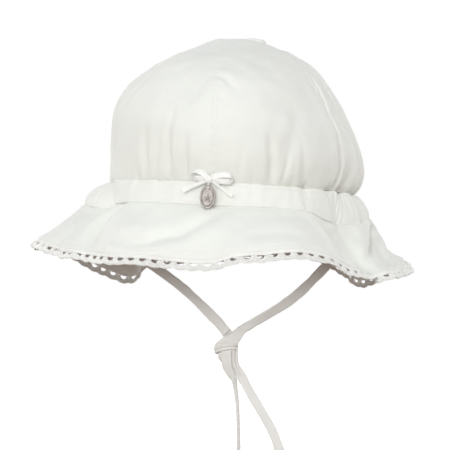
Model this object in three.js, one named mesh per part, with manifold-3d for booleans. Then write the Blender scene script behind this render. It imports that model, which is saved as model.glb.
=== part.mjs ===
// A baby's cotton sun hat: a crown of four panels under a covered button, a band gathered at the sides and back,
// a fluted brim edged with scalloped lace, a satin bow with an oval charm, and two flat chin ties knotted below.
// Millimetres, +Z up, the front of the hat facing -Y, and the origin at the centre of the head opening, at the
// level of the seam between band and brim. An azimuth is in degrees from the front, positive towards +X.

import * as THREE from "three";
import { mergeVertices } from "three/addons/utils/BufferGeometryUtils.js";
import Module from "manifold-3d";

// Head opening and crown
const headHalfWidth = 66;
const headHalfLength = 74;
const crownHeight = 77.4;
const apexShift = { x: 4, y: 3 };
const earSeamAzimuth = 63.5;
const apexHole = 2.2;

// Puff of the crown beside its top: its height, where it lies and how wide it is, as shares of the head's half
// width, and where it lies round the top and how far it goes round, in degrees
const topPuff = 3.6;
const topPuffReach = 0.28;
const topPuffWidth = 0.11;
const topPuffAzimuth = -70;
const topPuffArc = 75;

// Band
const bandHeight = 11.3;
const seamDip = 6.3;
const puffReach = 12;

// Gathers of the elastic, which runs round the back from one ear seam to the other
const gatherCount = 24;
const gatherDepth = 1.9;
const gatherFadeUp = 15;
const gatherFadeDown = 13;
const gatherStartAngle = 7;

// Soft folds of the crown's front and creases of the brim
const crownFoldDepth = 1.9;
const brimFoldDepth = 4;

// Brim and lace
const brimReach = 27;
const brimDrop = 30;
const brimBelly = 0.3;
const scallopPitch = 6.7;
const laceHeight = 5.5;
const laceTuck = 1.6;
const laceThickness = 1;

// Cloth
const clothThickness = 1.2;
const pieceGap = 0.3;

// Covered button
const buttonRadius = 6.3;
const buttonHeight = 2.6;

// Bow and charm
const ornamentX = -2.2;
const ribbonWidth = 3;
const ribbonThickness = 0.6;
const loopLength = 11;
const loopHeight = 5;
const bowKnotWidth = 3.4;
const bowKnotHeight = 3.8;
const bowTailLength = 15;
const charmWidth = 8;
const charmHeight = 12.2;
const charmThickness = 1;
const charmRelief = 0.5;
const charmRimWidth = 0.9;
const charmEyeRadius = 0.7;
const charmPetals = 5;

// Chin ties
const tieWidth = 5;
const tieThickness = 0.9;
const tieAzimuth = 80;
const tieTuck = 6;
const tieTuckEnd = 0.5;
const tieSeat = 0.4;

const clothColour = 0xf2f2ee;
const laceColour = 0xf5f5f1;
const satinColour = 0xfafafa;
const metalColour = 0xb9b4b2;

// Reach of the cloth at the band's two seams, as shares of the head's half length (front, back) and half width
const bandTopReach = { front: 0.985, right: 0.94, back: 0.985, left: 1.045 };
const bandLowReach = { front: 1.0, right: 0.98, back: 1.02, left: 1.06 };

// Crown sections from the band to the top. The rise is a share of the crown's height, the reaches are shares of
// the head's half length and half width, and the seam is the azimuth of the centre front seam.
const crownSections = [
  { rise: 0.0, ...bandTopReach, seam: 0 },
  { rise: 0.08, front: 1.03, right: 0.98, back: 1.03, left: 1.035, seam: 0 },
  { rise: 0.19, front: 1.065, right: 0.995, back: 1.06, left: 1.035, seam: -0.8 },
  { rise: 0.34, front: 1.065, right: 0.95, back: 1.06, left: 1.05, seam: -1 },
  { rise: 0.46, front: 1.03, right: 0.875, back: 1.02, left: 1.055, seam: -2 },
  { rise: 0.58, front: 0.955, right: 0.785, back: 0.945, left: 1.02, seam: -3 },
  { rise: 0.7, front: 0.85, right: 0.675, back: 0.84, left: 0.93, seam: -4 },
  { rise: 0.81, front: 0.71, right: 0.555, back: 0.7, left: 0.785, seam: -6 },
  { rise: 0.9, front: 0.53, right: 0.4, back: 0.52, left: 0.605, seam: -8 },
  { rise: 0.96, front: 0.36, right: 0.265, back: 0.35, left: 0.44, seam: -7 },
  { rise: 0.99, front: 0.2, right: 0.145, back: 0.19, left: 0.27, seam: -3.5 },
  { rise: 0.996, front: 0.105, right: 0.1, back: 0.105, left: 0.11, seam: -1 },
  { rise: 1.0, front: 0, right: 0, back: 0, left: 0, seam: 0 },
];

// Level of the seam between band and brim round the head, as a share of the seam's deepest dip
const seamLevels = [
  { azimuth: -180, level: 0.1 },
  { azimuth: -120, level: 0 },
  { azimuth: -84, level: -0.1 },
  { azimuth: -66, level: -0.56 },
  { azimuth: -54, level: -0.16 },
  { azimuth: -40, level: -0.04 },
  { azimuth: 0, level: -0.12 },
  { azimuth: 34, level: -0.06 },
  { azimuth: 46, level: -0.2 },
  { azimuth: 57, level: -0.7 },
  { azimuth: 67, level: -1.0 },
  { azimuth: 80, level: -0.6 },
  { azimuth: 96, level: -0.12 },
  { azimuth: 130, level: 0 },
];

// Puffs where the gathered casing stands out beside the ears, and the hollows in front of them. The swell is a
// share of the puffs' reach.
const sidePuffs = [
  { azimuth: -84, width: 15, swell: 0.75 },
  { azimuth: -61, width: 4, swell: -0.28 },
  { azimuth: 89, width: 17, swell: 0.5 },
  { azimuth: 66, width: 4, swell: -0.2 },
];

// Soft folds that rise from the band into the crown. The depth is a share of the crown's fold depth, and the
// reach up is a share of the crown's height.
const crownFolds = [
  { azimuth: -48, width: 4, depth: 0.5, up: 0.24 },
  { azimuth: -36, width: 4, depth: 0.9, up: 0.32 },
  { azimuth: -23, width: 4.5, depth: 1.0, up: 0.42 },
  { azimuth: -13, width: 3.5, depth: 0.7, up: 0.3 },
  { azimuth: 11, width: 3, depth: 0.35, up: 0.2 },
  { azimuth: 26, width: 3.5, depth: 0.6, up: 0.3 },
  { azimuth: 42, width: 3.5, depth: 0.45, up: 0.16 },
  { azimuth: 61, width: 4, depth: 0.6, up: 0.6 },
  { azimuth: 73, width: 4, depth: 0.7, up: 0.7 },
  { azimuth: -70, width: 4, depth: 0.5, up: 0.3 },
];

// The brim's hem round the head: how far it stands out, as a share of the brim's reach, how low it hangs, as a
// share of the brim's drop, and how much the brim bulges, as a share of its belly. A negative belly is hollow.
const brimHem = [
  { azimuth: -180, reach: 1.0, drop: 0.72, belly: 1 },
  { azimuth: -148, reach: 0.98, drop: 0.74, belly: 1 },
  { azimuth: -136, reach: 0.8, drop: 0.88, belly: 0.6 },
  { azimuth: -128, reach: 0.62, drop: 1.2, belly: 0.4 },
  { azimuth: -119, reach: 0.72, drop: 1.12, belly: 0.2 },
  { azimuth: -109, reach: 0.9, drop: 0.9, belly: 0 },
  { azimuth: -96, reach: 0.96, drop: 0.74, belly: -0.4 },
  { azimuth: -80, reach: 0.97, drop: 0.69, belly: -0.2 },
  { azimuth: -62, reach: 1.06, drop: 0.79, belly: 0.3 },
  { azimuth: -46, reach: 0.98, drop: 0.88, belly: 0.6 },
  { azimuth: -29, reach: 1.0, drop: 0.92, belly: 0.7 },
  { azimuth: -11, reach: 0.98, drop: 0.94, belly: 0.7 },
  { azimuth: 3, reach: 0.98, drop: 0.93, belly: 0.7 },
  { azimuth: 11, reach: 1.03, drop: 0.84, belly: 0.7 },
  { azimuth: 20, reach: 1.07, drop: 0.76, belly: 0.7 },
  { azimuth: 30, reach: 1.09, drop: 0.69, belly: 0.6 },
  { azimuth: 38, reach: 1.05, drop: 0.72, belly: 0.5 },
  { azimuth: 46, reach: 0.98, drop: 0.84, belly: 0.3 },
  { azimuth: 54, reach: 0.93, drop: 0.96, belly: 0 },
  { azimuth: 65, reach: 0.92, drop: 1.0, belly: -0.8 },
  { azimuth: 75, reach: 0.84, drop: 0.97, belly: -1.4 },
  { azimuth: 86, reach: 0.74, drop: 0.85, belly: -1.6 },
  { azimuth: 100, reach: 0.74, drop: 0.71, belly: -1.2 },
  { azimuth: 119, reach: 0.9, drop: 0.8, belly: -0.3 },
  { azimuth: 137, reach: 0.78, drop: 1.11, belly: 0.4 },
  { azimuth: 156, reach: 0.96, drop: 0.82, belly: 0.8 },
];

// Creases that run down the brim, from an azimuth at the seam to one at the hem. The depth is a share of the
// brim's fold depth, and a ridge has a negative one.
const brimFolds = [
  { seam: -53, hem: -42, width: 5.5, depth: 1.0 },
  { seam: -66, hem: -62, width: 5, depth: -0.5 },
  { seam: -4, hem: -22, width: 6, depth: 0.35 },
  { seam: 50, hem: 46, width: 6, depth: 1.05 },
  { seam: 70, hem: 66, width: 4, depth: -0.9 },
  { seam: 80, hem: 77, width: 3, depth: 0.9 },
  { seam: 91, hem: 89, width: 4.5, depth: -0.7 },
];

// The ties' routes: each point's place and the azimuth that the strap's flat side faces
const tieLeftRoute = [
  { x: -70, y: -14, z: -8, faces: -60 },
  { x: -62, y: -14, z: -18, faces: -30 },
  { x: -51, y: -14, z: -26, faces: 0 },
  { x: -38.4, y: -14, z: -33.9, faces: 0 },
  { x: -24.7, y: -14, z: -43, faces: 0 },
  { x: -13, y: -14, z: -52.6, faces: 0 },
  { x: -5, y: -14.6, z: -59.8, faces: 0 },
  { x: 0.6, y: -15.4, z: -65.2, faces: 0 },
];
const tieRightRoute = [
  { x: 66, y: -14, z: -9, faces: 60 },
  { x: 59.5, y: -14, z: -18, faces: 30 },
  { x: 51.5, y: -14, z: -27.4, faces: 5 },
  { x: 37.7, y: -14, z: -42.5, faces: 10 },
  { x: 30, y: -14, z: -49, faces: 35 },
  { x: 23.1, y: -14, z: -53.7, faces: 50 },
  { x: 14, y: -13.2, z: -59.6, faces: 20 },
  { x: 6.4, y: -12.6, z: -64.6, faces: 0 },
];
const tailLeftRoute = [
  { x: 5.3, y: -14, z: -88.8, faces: 74 },
  { x: 6.6, y: -14, z: -95, faces: 78 },
  { x: 8, y: -14, z: -103, faces: 78 },
  { x: 9.1, y: -14, z: -114.6, faces: 76 },
  { x: 9.9, y: -14, z: -127.4, faces: 74 },
  { x: 10.5, y: -14, z: -140, faces: 74 },
];
const tailRightRoute = [
  { x: 9.3, y: -14, z: -87.8, faces: 20 },
  { x: 15, y: -14, z: -97, faces: 15 },
  { x: 21.5, y: -14, z: -106.5, faces: 5 },
  { x: 27.5, y: -14, z: -116, faces: 0 },
  { x: 32, y: -14, z: -127, faces: 0 },
  { x: 34, y: -14, z: -138, faces: 0 },
];

// The knot from its top to its bottom
const knotSections = [
  { z: -67.8, x: 2.4, halfWidth: 4.6, halfDepth: 2.4 },
  { z: -69.4, x: 1.8, halfWidth: 6.2, halfDepth: 3.8 },
  { z: -72, x: 1.2, halfWidth: 6.8, halfDepth: 4.2 },
  { z: -74.5, x: 1, halfWidth: 6.6, halfDepth: 4.2 },
  { z: -77, x: 2, halfWidth: 4.6, halfDepth: 3.4 },
  { z: -82, x: 2.8, halfWidth: 4.4, halfDepth: 3 },
  { z: -86, x: 4.4, halfWidth: 3.6, halfDepth: 2.6 },
  { z: -88.2, x: 6.2, halfWidth: 1.8, halfDepth: 1.8 },
];

const wasm = await Module();
wasm.setup();

const radians = THREE.MathUtils.degToRad;

function hermite(a, b, slopeA, slopeB, span, share) {
  const s2 = share * share;
  const s3 = s2 * share;
  const bend = (s3 - 2 * s2 + share) * slopeA + (s3 - s2) * slopeB;
  return (2 * s3 - 3 * s2 + 1) * a + (3 * s2 - 2 * s3) * b + bend * span;
}

// Smooth value of one column of a table of azimuths, closed round the head
function roundValue(rows, column, azimuth) {
  const count = rows.length;
  const turn = ((azimuth - rows[0].azimuth) % 360 + 360) % 360 + rows[0].azimuth;
  let at = count - 1;
  while (rows[at].azimuth > turn) at -= 1;
  const place = (k) => rows[(k + count) % count].azimuth + 360 * Math.floor(k / count);
  const value = (k) => rows[(k + count) % count][column];
  const slope = (k) => (value(k + 1) - value(k - 1)) / (place(k + 1) - place(k - 1));
  const span = place(at + 1) - place(at);
  return hermite(value(at), value(at + 1), slope(at), slope(at + 1), span, (turn - place(at)) / span);
}

// Smooth value of one column of a table of sections, from the first row at 0 to the last row at 1
function sectionValue(rows, column, share) {
  const last = rows.length - 1;
  const place = THREE.MathUtils.clamp(share, 0, 1) * last;
  const at = Math.min(Math.floor(place), last - 1);
  const value = (k) => rows[THREE.MathUtils.clamp(k, 0, last)][column];
  const slope = (k) => (k === 0 || k === last ? value(k + (k === 0 ? 1 : 0)) - value(k - (k === last ? 1 : 0))
    : (value(k + 1) - value(k - 1)) / 2);
  return hermite(value(at), value(at + 1), slope(at), slope(at + 1), 1, place - at);
}

const bell = (offset) => Math.exp(-offset * offset);
const mix = THREE.MathUtils.lerp;
const turnFrom = (azimuth, centre) => ((azimuth - centre + 540) % 360) - 180;

// Ridges and hollows of the elastic's gathers, from -1 to 1, none in front of the ear seams
const gatherArc = 360 - 2 * earSeamAzimuth;
function gatherWave(azimuth) {
  const past = Math.abs(turnFrom(azimuth, 0)) - earSeamAzimuth;
  if (past <= 0) return 0;
  const phase = (past / gatherArc) * gatherCount * 2 * Math.PI;
  return -Math.cos(phase) * Math.min(1, past / gatherStartAngle);
}

function puffSwell(azimuth) {
  let swell = 0;
  for (const puff of sidePuffs) swell += puff.swell * bell(turnFrom(azimuth, puff.azimuth) / puff.width);
  return swell * puffReach;
}

// A point at an azimuth on an oval with its own reach on each of its four sides
function ovalPoint(azimuth, reach, push, shiftShare, z) {
  const side = Math.sin(radians(azimuth));
  const ahead = Math.cos(radians(azimuth));
  const halfWidth = (side > 0 ? reach.right : reach.left) * headHalfWidth + push;
  const halfLength = (ahead > 0 ? reach.front : reach.back) * headHalfLength + push;
  const x = halfWidth * side + apexShift.x * shiftShare;
  const y = -halfLength * ahead + apexShift.y * shiftShare;
  return new THREE.Vector3(x, y, z);
}

function crownPoint(azimuth, share) {
  const row = {};
  for (const column of ["rise", "front", "right", "back", "left"]) {
    row[column] = sectionValue(crownSections, column, share);
  }
  const rise = row.rise * crownHeight;
  const fade = Math.min(1, row.front);
  let push = gatherWave(azimuth) * gatherDepth * Math.exp(-rise / gatherFadeUp);
  for (const fold of crownFolds) {
    const depth = fold.depth * crownFoldDepth * bell(row.rise / fold.up) * fade;
    push -= depth * bell(turnFrom(azimuth, fold.azimuth) / fold.width);
  }
  const hole = apexHole * (1 - fade);
  const point = ovalPoint(azimuth, row, push + hole, row.rise * row.rise, bandHeight + rise);
  const puff = topPuff * bell((row.left - topPuffReach) / topPuffWidth);
  point.z += puff * bell(turnFrom(azimuth, topPuffAzimuth) / topPuffArc);
  return point;
}

function seamLevel(azimuth) {
  return roundValue(seamLevels, "level", azimuth) * seamDip;
}

function bandPoint(azimuth, share) {
  const row = {};
  for (const side of ["front", "right", "back", "left"]) {
    row[side] = mix(bandLowReach[side], bandTopReach[side], share);
  }
  let push = gatherWave(azimuth) * gatherDepth + puffSwell(azimuth) * (1 - share);
  for (const fold of crownFolds) {
    push -= fold.depth * crownFoldDepth * share * bell(turnFrom(azimuth, fold.azimuth) / fold.width);
  }
  return ovalPoint(azimuth, row, push, 0, mix(seamLevel(azimuth), bandHeight, share));
}

// Where the brim bulges it leaves the seam flatter and ends at the hem steeper, and where it is hollow it does the
// opposite. Past a share of 1 it runs straight on.
function brimPoint(azimuth, share) {
  const belly = roundValue(brimHem, "belly", azimuth) * brimBelly;
  const outward = share * (1 + belly * (1 - share));
  const downward = share * (1 - belly * (1 - share));
  const reach = roundValue(brimHem, "reach", azimuth) * brimReach;
  const hemLevel = -roundValue(brimHem, "drop", azimuth) * brimDrop;
  const low = seamLevel(azimuth);
  let push = puffSwell(azimuth) + reach * outward;
  push += gatherWave(azimuth) * gatherDepth * Math.exp((-share * brimReach) / gatherFadeDown);
  for (const fold of brimFolds) {
    const centre = mix(fold.seam, fold.hem, share);
    const swell = Math.sin(Math.PI * Math.min(1, 0.15 + 0.7 * share));
    push -= fold.depth * brimFoldDepth * swell * bell(turnFrom(azimuth, centre) / fold.width);
  }
  return ovalPoint(azimuth, bandLowReach, push, 0, low + (hemLevel - low) * downward);
}

// Unit normal of a surface, pointing away from the head
function normalAt(surface, azimuth, share) {
  const step = 0.01;
  const low = Math.max(0, share - step);
  const high = Math.min(1, share + step);
  const across = surface(azimuth + 0.1, share).sub(surface(azimuth - 0.1, share));
  const along = surface(azimuth, high).sub(surface(azimuth, low));
  const normal = across.cross(along).normalize();
  return surface === brimPoint ? normal.negate() : normal;
}

// Level direction away from the head, used at the seams so that the pieces meet edge to edge
function levelNormal(surface, azimuth, share) {
  const across = surface(azimuth + 0.1, share).sub(surface(azimuth - 0.1, share));
  return new THREE.Vector3(across.y, -across.x, 0).normalize();
}

// Closed solid from a list of corners and faces, turned so that its faces point out
function solid(corners, faces) {
  const geometry = new THREE.BufferGeometry();
  const a = new THREE.Vector3();
  let volume = 0;
  for (const [i, j, k] of faces) volume += a.copy(corners[i]).cross(corners[j]).dot(corners[k]);
  const turned = volume > 0 ? faces : faces.map(([i, j, k]) => [i, k, j]);
  geometry.setAttribute("position", new THREE.Float32BufferAttribute(corners.flatMap((p) => [p.x, p.y, p.z]), 3));
  geometry.setIndex(turned.flat());
  return geometry;
}

// A sheet of cloth with two faces. The columns are azimuths, or functions of the share that give them, and the
// sheet closes round the head where ring is true.
function clothSheet(surface, azimuths, shares, ring, trim) {
  const corners = [];
  const faces = [];
  const columns = azimuths.length;
  const rows = shares.length;
  for (const side of [0.5, -0.5]) {
    for (let j = 0; j < rows; j += 1) {
      for (let i = 0; i < columns; i += 1) {
        const azimuth = typeof azimuths[i] === "function" ? azimuths[i](shares[j]) : azimuths[i];
        const point = surface(azimuth, shares[j]);
        const atSeam = (trim.low && j === 0) || (trim.high && j === rows - 1);
        const normal = (atSeam ? levelNormal : normalAt)(surface, azimuth, shares[j]);
        point.addScaledVector(normal, side * clothThickness);
        if (trim.low && j === 0) point.z += trim.low;
        if (trim.high && j === rows - 1) point.z += trim.high;
        corners.push(point);
      }
    }
  }
  const back = columns * rows;
  const at = (i, j) => (i % columns) + j * columns;
  const quad = (a, b, c, d) => faces.push([a, b, c], [a, c, d]);
  const spans = ring ? columns : columns - 1;
  for (let i = 0; i < spans; i += 1) {
    for (let j = 0; j < rows - 1; j += 1) {
      quad(at(i, j), at(i + 1, j), at(i + 1, j + 1), at(i, j + 1));
      quad(back + at(i, j), back + at(i, j + 1), back + at(i + 1, j + 1), back + at(i + 1, j));
    }
    quad(at(i, 0), back + at(i, 0), back + at(i + 1, 0), at(i + 1, 0));
    const top = rows - 1;
    quad(at(i, top), at(i + 1, top), back + at(i + 1, top), back + at(i, top));
  }
  if (!ring) {
    const end = columns - 1;
    for (let j = 0; j < rows - 1; j += 1) {
      quad(at(0, j), at(0, j + 1), back + at(0, j + 1), back + at(0, j));
      quad(at(end, j), back + at(end, j), back + at(end, j + 1), at(end, j + 1));
    }
  }
  return solid(corners, faces);
}

const even = (count) => Array.from({ length: count + 1 }, (_, i) => i / count);

// A crown panel between two seams. Each seam is a function of the share, and the cloth stops half a gap short.
function crownPanel(startSeam, endSeam, steps) {
  const shares = even(crownSections.length - 1);
  const reachAt = (share) => Math.max(apexHole, sectionValue(crownSections, "right", share) * headHalfWidth);
  const margin = (share) => THREE.MathUtils.radToDeg(pieceGap / 2 / reachAt(share));
  const azimuths = even(steps).map((part) => (share) =>
    mix(startSeam(share) + margin(share), endSeam(share) - margin(share), part));
  return clothSheet(crownPoint, azimuths, shares, false, { low: pieceGap / 2 });
}

const frontSeam = (share) => sectionValue(crownSections, "seam", share);
const rightEarSeam = () => earSeamAzimuth;
const leftEarSeam = () => -earSeamAzimuth;
const leftEarSeamRound = () => 360 - earSeamAzimuth;
const backSeam = () => 180;

const frontSteps = 12;
const backSteps = gatherCount;

// Azimuths of the band's columns: even in front, and on each ridge and hollow of the gathers behind the ears
function bandAzimuths() {
  const azimuths = [];
  const steps = 2 * frontSteps;
  for (let i = 0; i < steps; i += 1) azimuths.push(mix(-earSeamAzimuth, earSeamAzimuth, i / steps));
  for (let i = 0; i < 2 * gatherCount; i += 1) azimuths.push(earSeamAzimuth + (gatherArc * i) / (2 * gatherCount));
  return azimuths;
}

// Azimuths spaced evenly along the hem, one for each scallop of the lace
function scallopAzimuths() {
  const samples = 1440;
  const lengths = [0];
  let before = brimPoint(-180, 1);
  for (let i = 1; i <= samples; i += 1) {
    const next = brimPoint(-180 + (360 * i) / samples, 1);
    lengths.push(lengths[i - 1] + next.distanceTo(before));
    before = next;
  }
  const count = Math.round(lengths[samples] / scallopPitch);
  const azimuths = [];
  let at = 0;
  for (let k = 0; k < count; k += 1) {
    const wanted = (lengths[samples] * k) / count;
    while (lengths[at + 1] < wanted) at += 1;
    const part = (wanted - lengths[at]) / (lengths[at + 1] - lengths[at]);
    azimuths.push(-180 + (360 * (at + part)) / samples);
  }
  return azimuths;
}

// Lace strip behind the hem: each scallop has a straight top, a round lower edge and one hole
function laceTrim(azimuths) {
  const corners = [];
  const faces = [];
  const count = azimuths.length;
  const inset = clothThickness / 2 + pieceGap + laceThickness / 2;
  const frames = azimuths.map((azimuth) => {
    const hem = brimPoint(azimuth, 1);
    const down = hem.clone().sub(brimPoint(azimuth, 0.97)).normalize();
    return { hem, down, normal: normalAt(brimPoint, azimuth, 1) };
  });
  // A place in scallop k: across from 0 to 1 and down from the hem
  const place = (k, across, drop, side) => {
    const a = frames[k % count];
    const b = frames[(k + 1) % count];
    const point = a.hem.clone().lerp(b.hem, across);
    point.addScaledVector(a.down.clone().lerp(b.down, across).normalize(), drop);
    const normal = a.normal.clone().lerp(b.normal, across).normalize();
    return point.addScaledVector(normal, side * laceThickness - inset);
  };
  const holeTop = laceHeight * 0.08;
  const holeBottom = laceHeight * 0.56;
  const cusp = laceHeight * 0.74;
  const outline = [[0, -laceTuck], [0, cusp], [0.24, laceHeight], [0.76, laceHeight]];
  const hole = [[0.16, holeTop], [0.32, holeBottom], [0.68, holeBottom], [0.84, holeTop]];
  const perCell = outline.length + hole.length;
  for (const side of [0.5, -0.5]) {
    for (let k = 0; k < count; k += 1) {
      for (const [across, drop] of [...outline, ...hole]) corners.push(place(k, across, drop, side));
    }
  }
  const back = perCell * count;
  const quad = (a, b, c, d) => faces.push([a, b, c], [a, c, d]);
  for (let k = 0; k < count; k += 1) {
    const here = k * perCell;
    const next = ((k + 1) % count) * perCell;
    // Round the hole and round the scallop, both starting at the top left and going down
    const inner = [4, 5, 6, 7].map((n) => here + n);
    const outer = [here, here + 1, here + 2, here + 3, next + 1, next];
    const ring = [
      [outer[0], outer[1], inner[0]],
      [outer[1], inner[1], inner[0]],
      [outer[1], outer[2], inner[1]],
      [outer[2], outer[3], inner[1]],
      [outer[3], inner[2], inner[1]],
      [outer[3], outer[4], inner[2]],
      [outer[4], inner[3], inner[2]],
      [outer[4], outer[5], inner[3]],
      [outer[5], inner[0], inner[3]],
      [outer[5], outer[0], inner[0]],
    ];
    for (const [a, b, c] of ring) faces.push([a, b, c], [back + a, back + c, back + b]);
    for (let n = 1; n < 4; n += 1) quad(outer[n], back + outer[n], back + outer[n + 1], outer[n + 1]);
    quad(outer[5], back + outer[5], back + outer[0], outer[0]);
    for (let n = 0; n < 4; n += 1) {
      const a = inner[n];
      const b = inner[(n + 1) % 4];
      quad(a, b, back + b, back + a);
    }
  }
  return solid(corners, faces);
}

// A flat strap along a route. Its flat side faces the azimuth that each point of the route gives.
function strap(route, steps) {
  const curve = new THREE.CatmullRomCurve3(route.map((p) => new THREE.Vector3(p.x, p.y, p.z)), false, "centripetal");
  const corners = [];
  const faces = [];
  for (let i = 0; i <= steps; i += 1) {
    const share = i / steps;
    const point = curve.getPoint(share);
    const tangent = curve.getTangent(share);
    const facing = radians(sectionValue(route, "faces", share));
    const normal = new THREE.Vector3(Math.sin(facing), -Math.cos(facing), 0);
    normal.addScaledVector(tangent, -normal.dot(tangent)).normalize();
    const across = tangent.clone().cross(normal);
    for (const [w, t] of [[-0.5, -0.5], [0.5, -0.5], [0.5, 0.5], [-0.5, 0.5]]) {
      corners.push(point.clone().addScaledVector(across, w * tieWidth).addScaledVector(normal, t * tieThickness));
    }
  }
  const quad = (a, b, c, d) => faces.push([a, b, c], [a, c, d]);
  for (let i = 0; i < steps; i += 1) {
    for (let n = 0; n < 4; n += 1) {
      const m = (n + 1) % 4;
      quad(4 * i + n, 4 * i + m, 4 * i + 4 + m, 4 * i + 4 + n);
    }
  }
  const end = 4 * steps;
  quad(3, 2, 1, 0);
  quad(end, end + 1, end + 2, end + 3);
  return solid(corners, faces);
}

// The sewn top of a tie: two points against the inside of the band, which leans in between them
function sewnTop(azimuth) {
  const spread = THREE.MathUtils.radToDeg(tieWidth / 2 / headHalfWidth);
  const side = Math.sin(radians(azimuth));
  const ahead = Math.cos(radians(azimuth));
  const low = seamLevel(azimuth);
  const levels = [tieTuck, tieTuckEnd];
  const reaches = levels.map((level) => {
    const share = (level - low) / (bandHeight - low);
    const points = even(8).map((part) => bandPoint(azimuth + mix(-spread, spread, part), share));
    return Math.min(...points.map((point) => side * point.x - ahead * point.y));
  });
  const slope = (reaches[1] - reaches[0]) / (levels[0] - levels[1]);
  const inset = (clothThickness / 2 + tieSeat + tieThickness / 2) * Math.hypot(1, slope);
  return levels.map((level, n) => {
    const reach = reaches[n] - inset;
    return { x: side * reach, y: -ahead * reach, z: level, faces: azimuth };
  });
}

function tieKnot() {
  const sides = 12;
  const corners = [];
  const faces = [];
  for (const row of knotSections) {
    for (let n = 0; n < sides; n += 1) {
      const turn = (2 * Math.PI * n) / sides;
      const x = row.x + row.halfWidth * Math.cos(turn);
      corners.push(new THREE.Vector3(x, tieLeftRoute[0].y + row.halfDepth * Math.sin(turn), row.z));
    }
  }
  for (let j = 0; j < knotSections.length - 1; j += 1) {
    for (let n = 0; n < sides; n += 1) {
      const m = (n + 1) % sides;
      const a = j * sides;
      const b = a + sides;
      faces.push([a + n, a + m, b + m], [a + n, b + m, b + n]);
    }
  }
  const last = (knotSections.length - 1) * sides;
  for (let n = 1; n < sides - 1; n += 1) faces.push([0, n + 1, n], [last, last + n, last + n + 1]);
  return solid(corners, faces);
}

function toManifold(geometry) {
  const bare = geometry.clone();
  for (const name of Object.keys(bare.attributes)) if (name !== "position") bare.deleteAttribute(name);
  const merged = mergeVertices(bare, 1e-4);
  const vertProperties = new Float32Array(merged.attributes.position.array);
  return new wasm.Manifold(new wasm.Mesh({ numProp: 3, vertProperties, triVerts: new Uint32Array(merged.index.array) }));
}

function fromManifold(body) {
  const mesh = body.getMesh();
  const geometry = new THREE.BufferGeometry();
  geometry.setAttribute("position", new THREE.Float32BufferAttribute(Array.from(mesh.vertProperties), 3));
  geometry.setIndex(Array.from(mesh.triVerts));
  return geometry;
}

function joined(geometries) {
  return geometries.map(toManifold).reduce((whole, next) => whole.add(next));
}

// Covered button: a low round cushion with a flat underside
function crownButton() {
  const edge = buttonHeight * 0.3;
  const profile = [
    new THREE.Vector2(0, 0),
    new THREE.Vector2(buttonRadius - edge, 0),
    new THREE.Vector2(buttonRadius, edge),
    new THREE.Vector2(buttonRadius - edge / 2, buttonHeight - edge),
    new THREE.Vector2(buttonRadius * 0.62, buttonHeight - edge / 4),
    new THREE.Vector2(0, buttonHeight),
  ];
  const geometry = new THREE.LatheGeometry(profile, 20);
  geometry.rotateX(Math.PI / 2);
  const top = crownPoint(0, 1).z + clothThickness / 2 + pieceGap;
  geometry.translate(apexShift.x, apexShift.y, top);
  return geometry;
}

// An outline as straight steps, whose last point isn't its first one again
function stepped(outline, divisions) {
  return new THREE.Shape(outline.getPoints(divisions).slice(0, -1));
}

// The bow in its own plane, x to the right and y up, and its ribbon's width along z
function bowLoop(direction, tilt) {
  const rounded = (inset) => {
    const shape = new THREE.Shape();
    const near = inset * 1.6;
    const far = loopLength - inset;
    const half = loopHeight / 2 - inset;
    shape.moveTo(near, 0);
    shape.bezierCurveTo(loopLength * 0.35, -half, far, -half * 1.5, far, 0);
    shape.bezierCurveTo(far, half * 1.5, loopLength * 0.35, half, near, 0);
    return stepped(shape, 6);
  };
  const shape = rounded(0);
  shape.holes.push(rounded(ribbonThickness));
  const geometry = new THREE.ExtrudeGeometry(shape, { depth: ribbonWidth, bevelEnabled: false });
  if (direction < 0) geometry.rotateY(Math.PI).translate(0, 0, ribbonWidth);
  return geometry.rotateZ(radians(tilt));
}

function bowTail(tilt) {
  const geometry = new THREE.BoxGeometry(bowTailLength, ribbonWidth * 0.8, ribbonThickness);
  geometry.translate(bowTailLength / 2, 0, ribbonThickness / 2);
  return geometry.rotateZ(radians(tilt));
}

function bowKnot() {
  const geometry = new THREE.SphereGeometry(0.5, 10, 6);
  geometry.scale(bowKnotWidth, bowKnotHeight, ribbonWidth * 1.3);
  return geometry.translate(0, 0, ribbonWidth / 2);
}

// How far the cloth stands forward over a patch of the hat's front, between two levels
function frontmost(halfSpan, lowLevel, highLevel) {
  let least = Infinity;
  for (const surface of [crownPoint, bandPoint, brimPoint]) {
    for (const share of even(60)) {
      for (let azimuth = -24; azimuth <= 24; azimuth += 1) {
        const point = surface(azimuth, share);
        const inside = Math.abs(point.x - ornamentX) < halfSpan && point.z > lowLevel && point.z < highLevel;
        if (inside) least = Math.min(least, point.y);
      }
    }
  }
  return least - clothThickness / 2;
}

function bow() {
  const parts = [bowLoop(1, 6), bowLoop(-1, -22), bowTail(-150), bowTail(-32), bowKnot()];
  const geometry = fromManifold(joined(parts));
  geometry.rotateX(Math.PI / 2);
  geometry.computeBoundingBox();
  const level = bandHeight + 0.8;
  const high = level + geometry.boundingBox.max.z;
  const low = level + geometry.boundingBox.min.z;
  const wall = frontmost(bowTailLength, low - 1, high + 1);
  return geometry.translate(ornamentX, wall - pieceGap - geometry.boundingBox.max.y, level);
}

function ovalShape(halfWidth, halfHeight) {
  const shape = new THREE.Shape();
  shape.absellipse(0, 0, halfWidth, halfHeight, 0, 2 * Math.PI, false, 0);
  return stepped(shape, 12);
}

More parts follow.
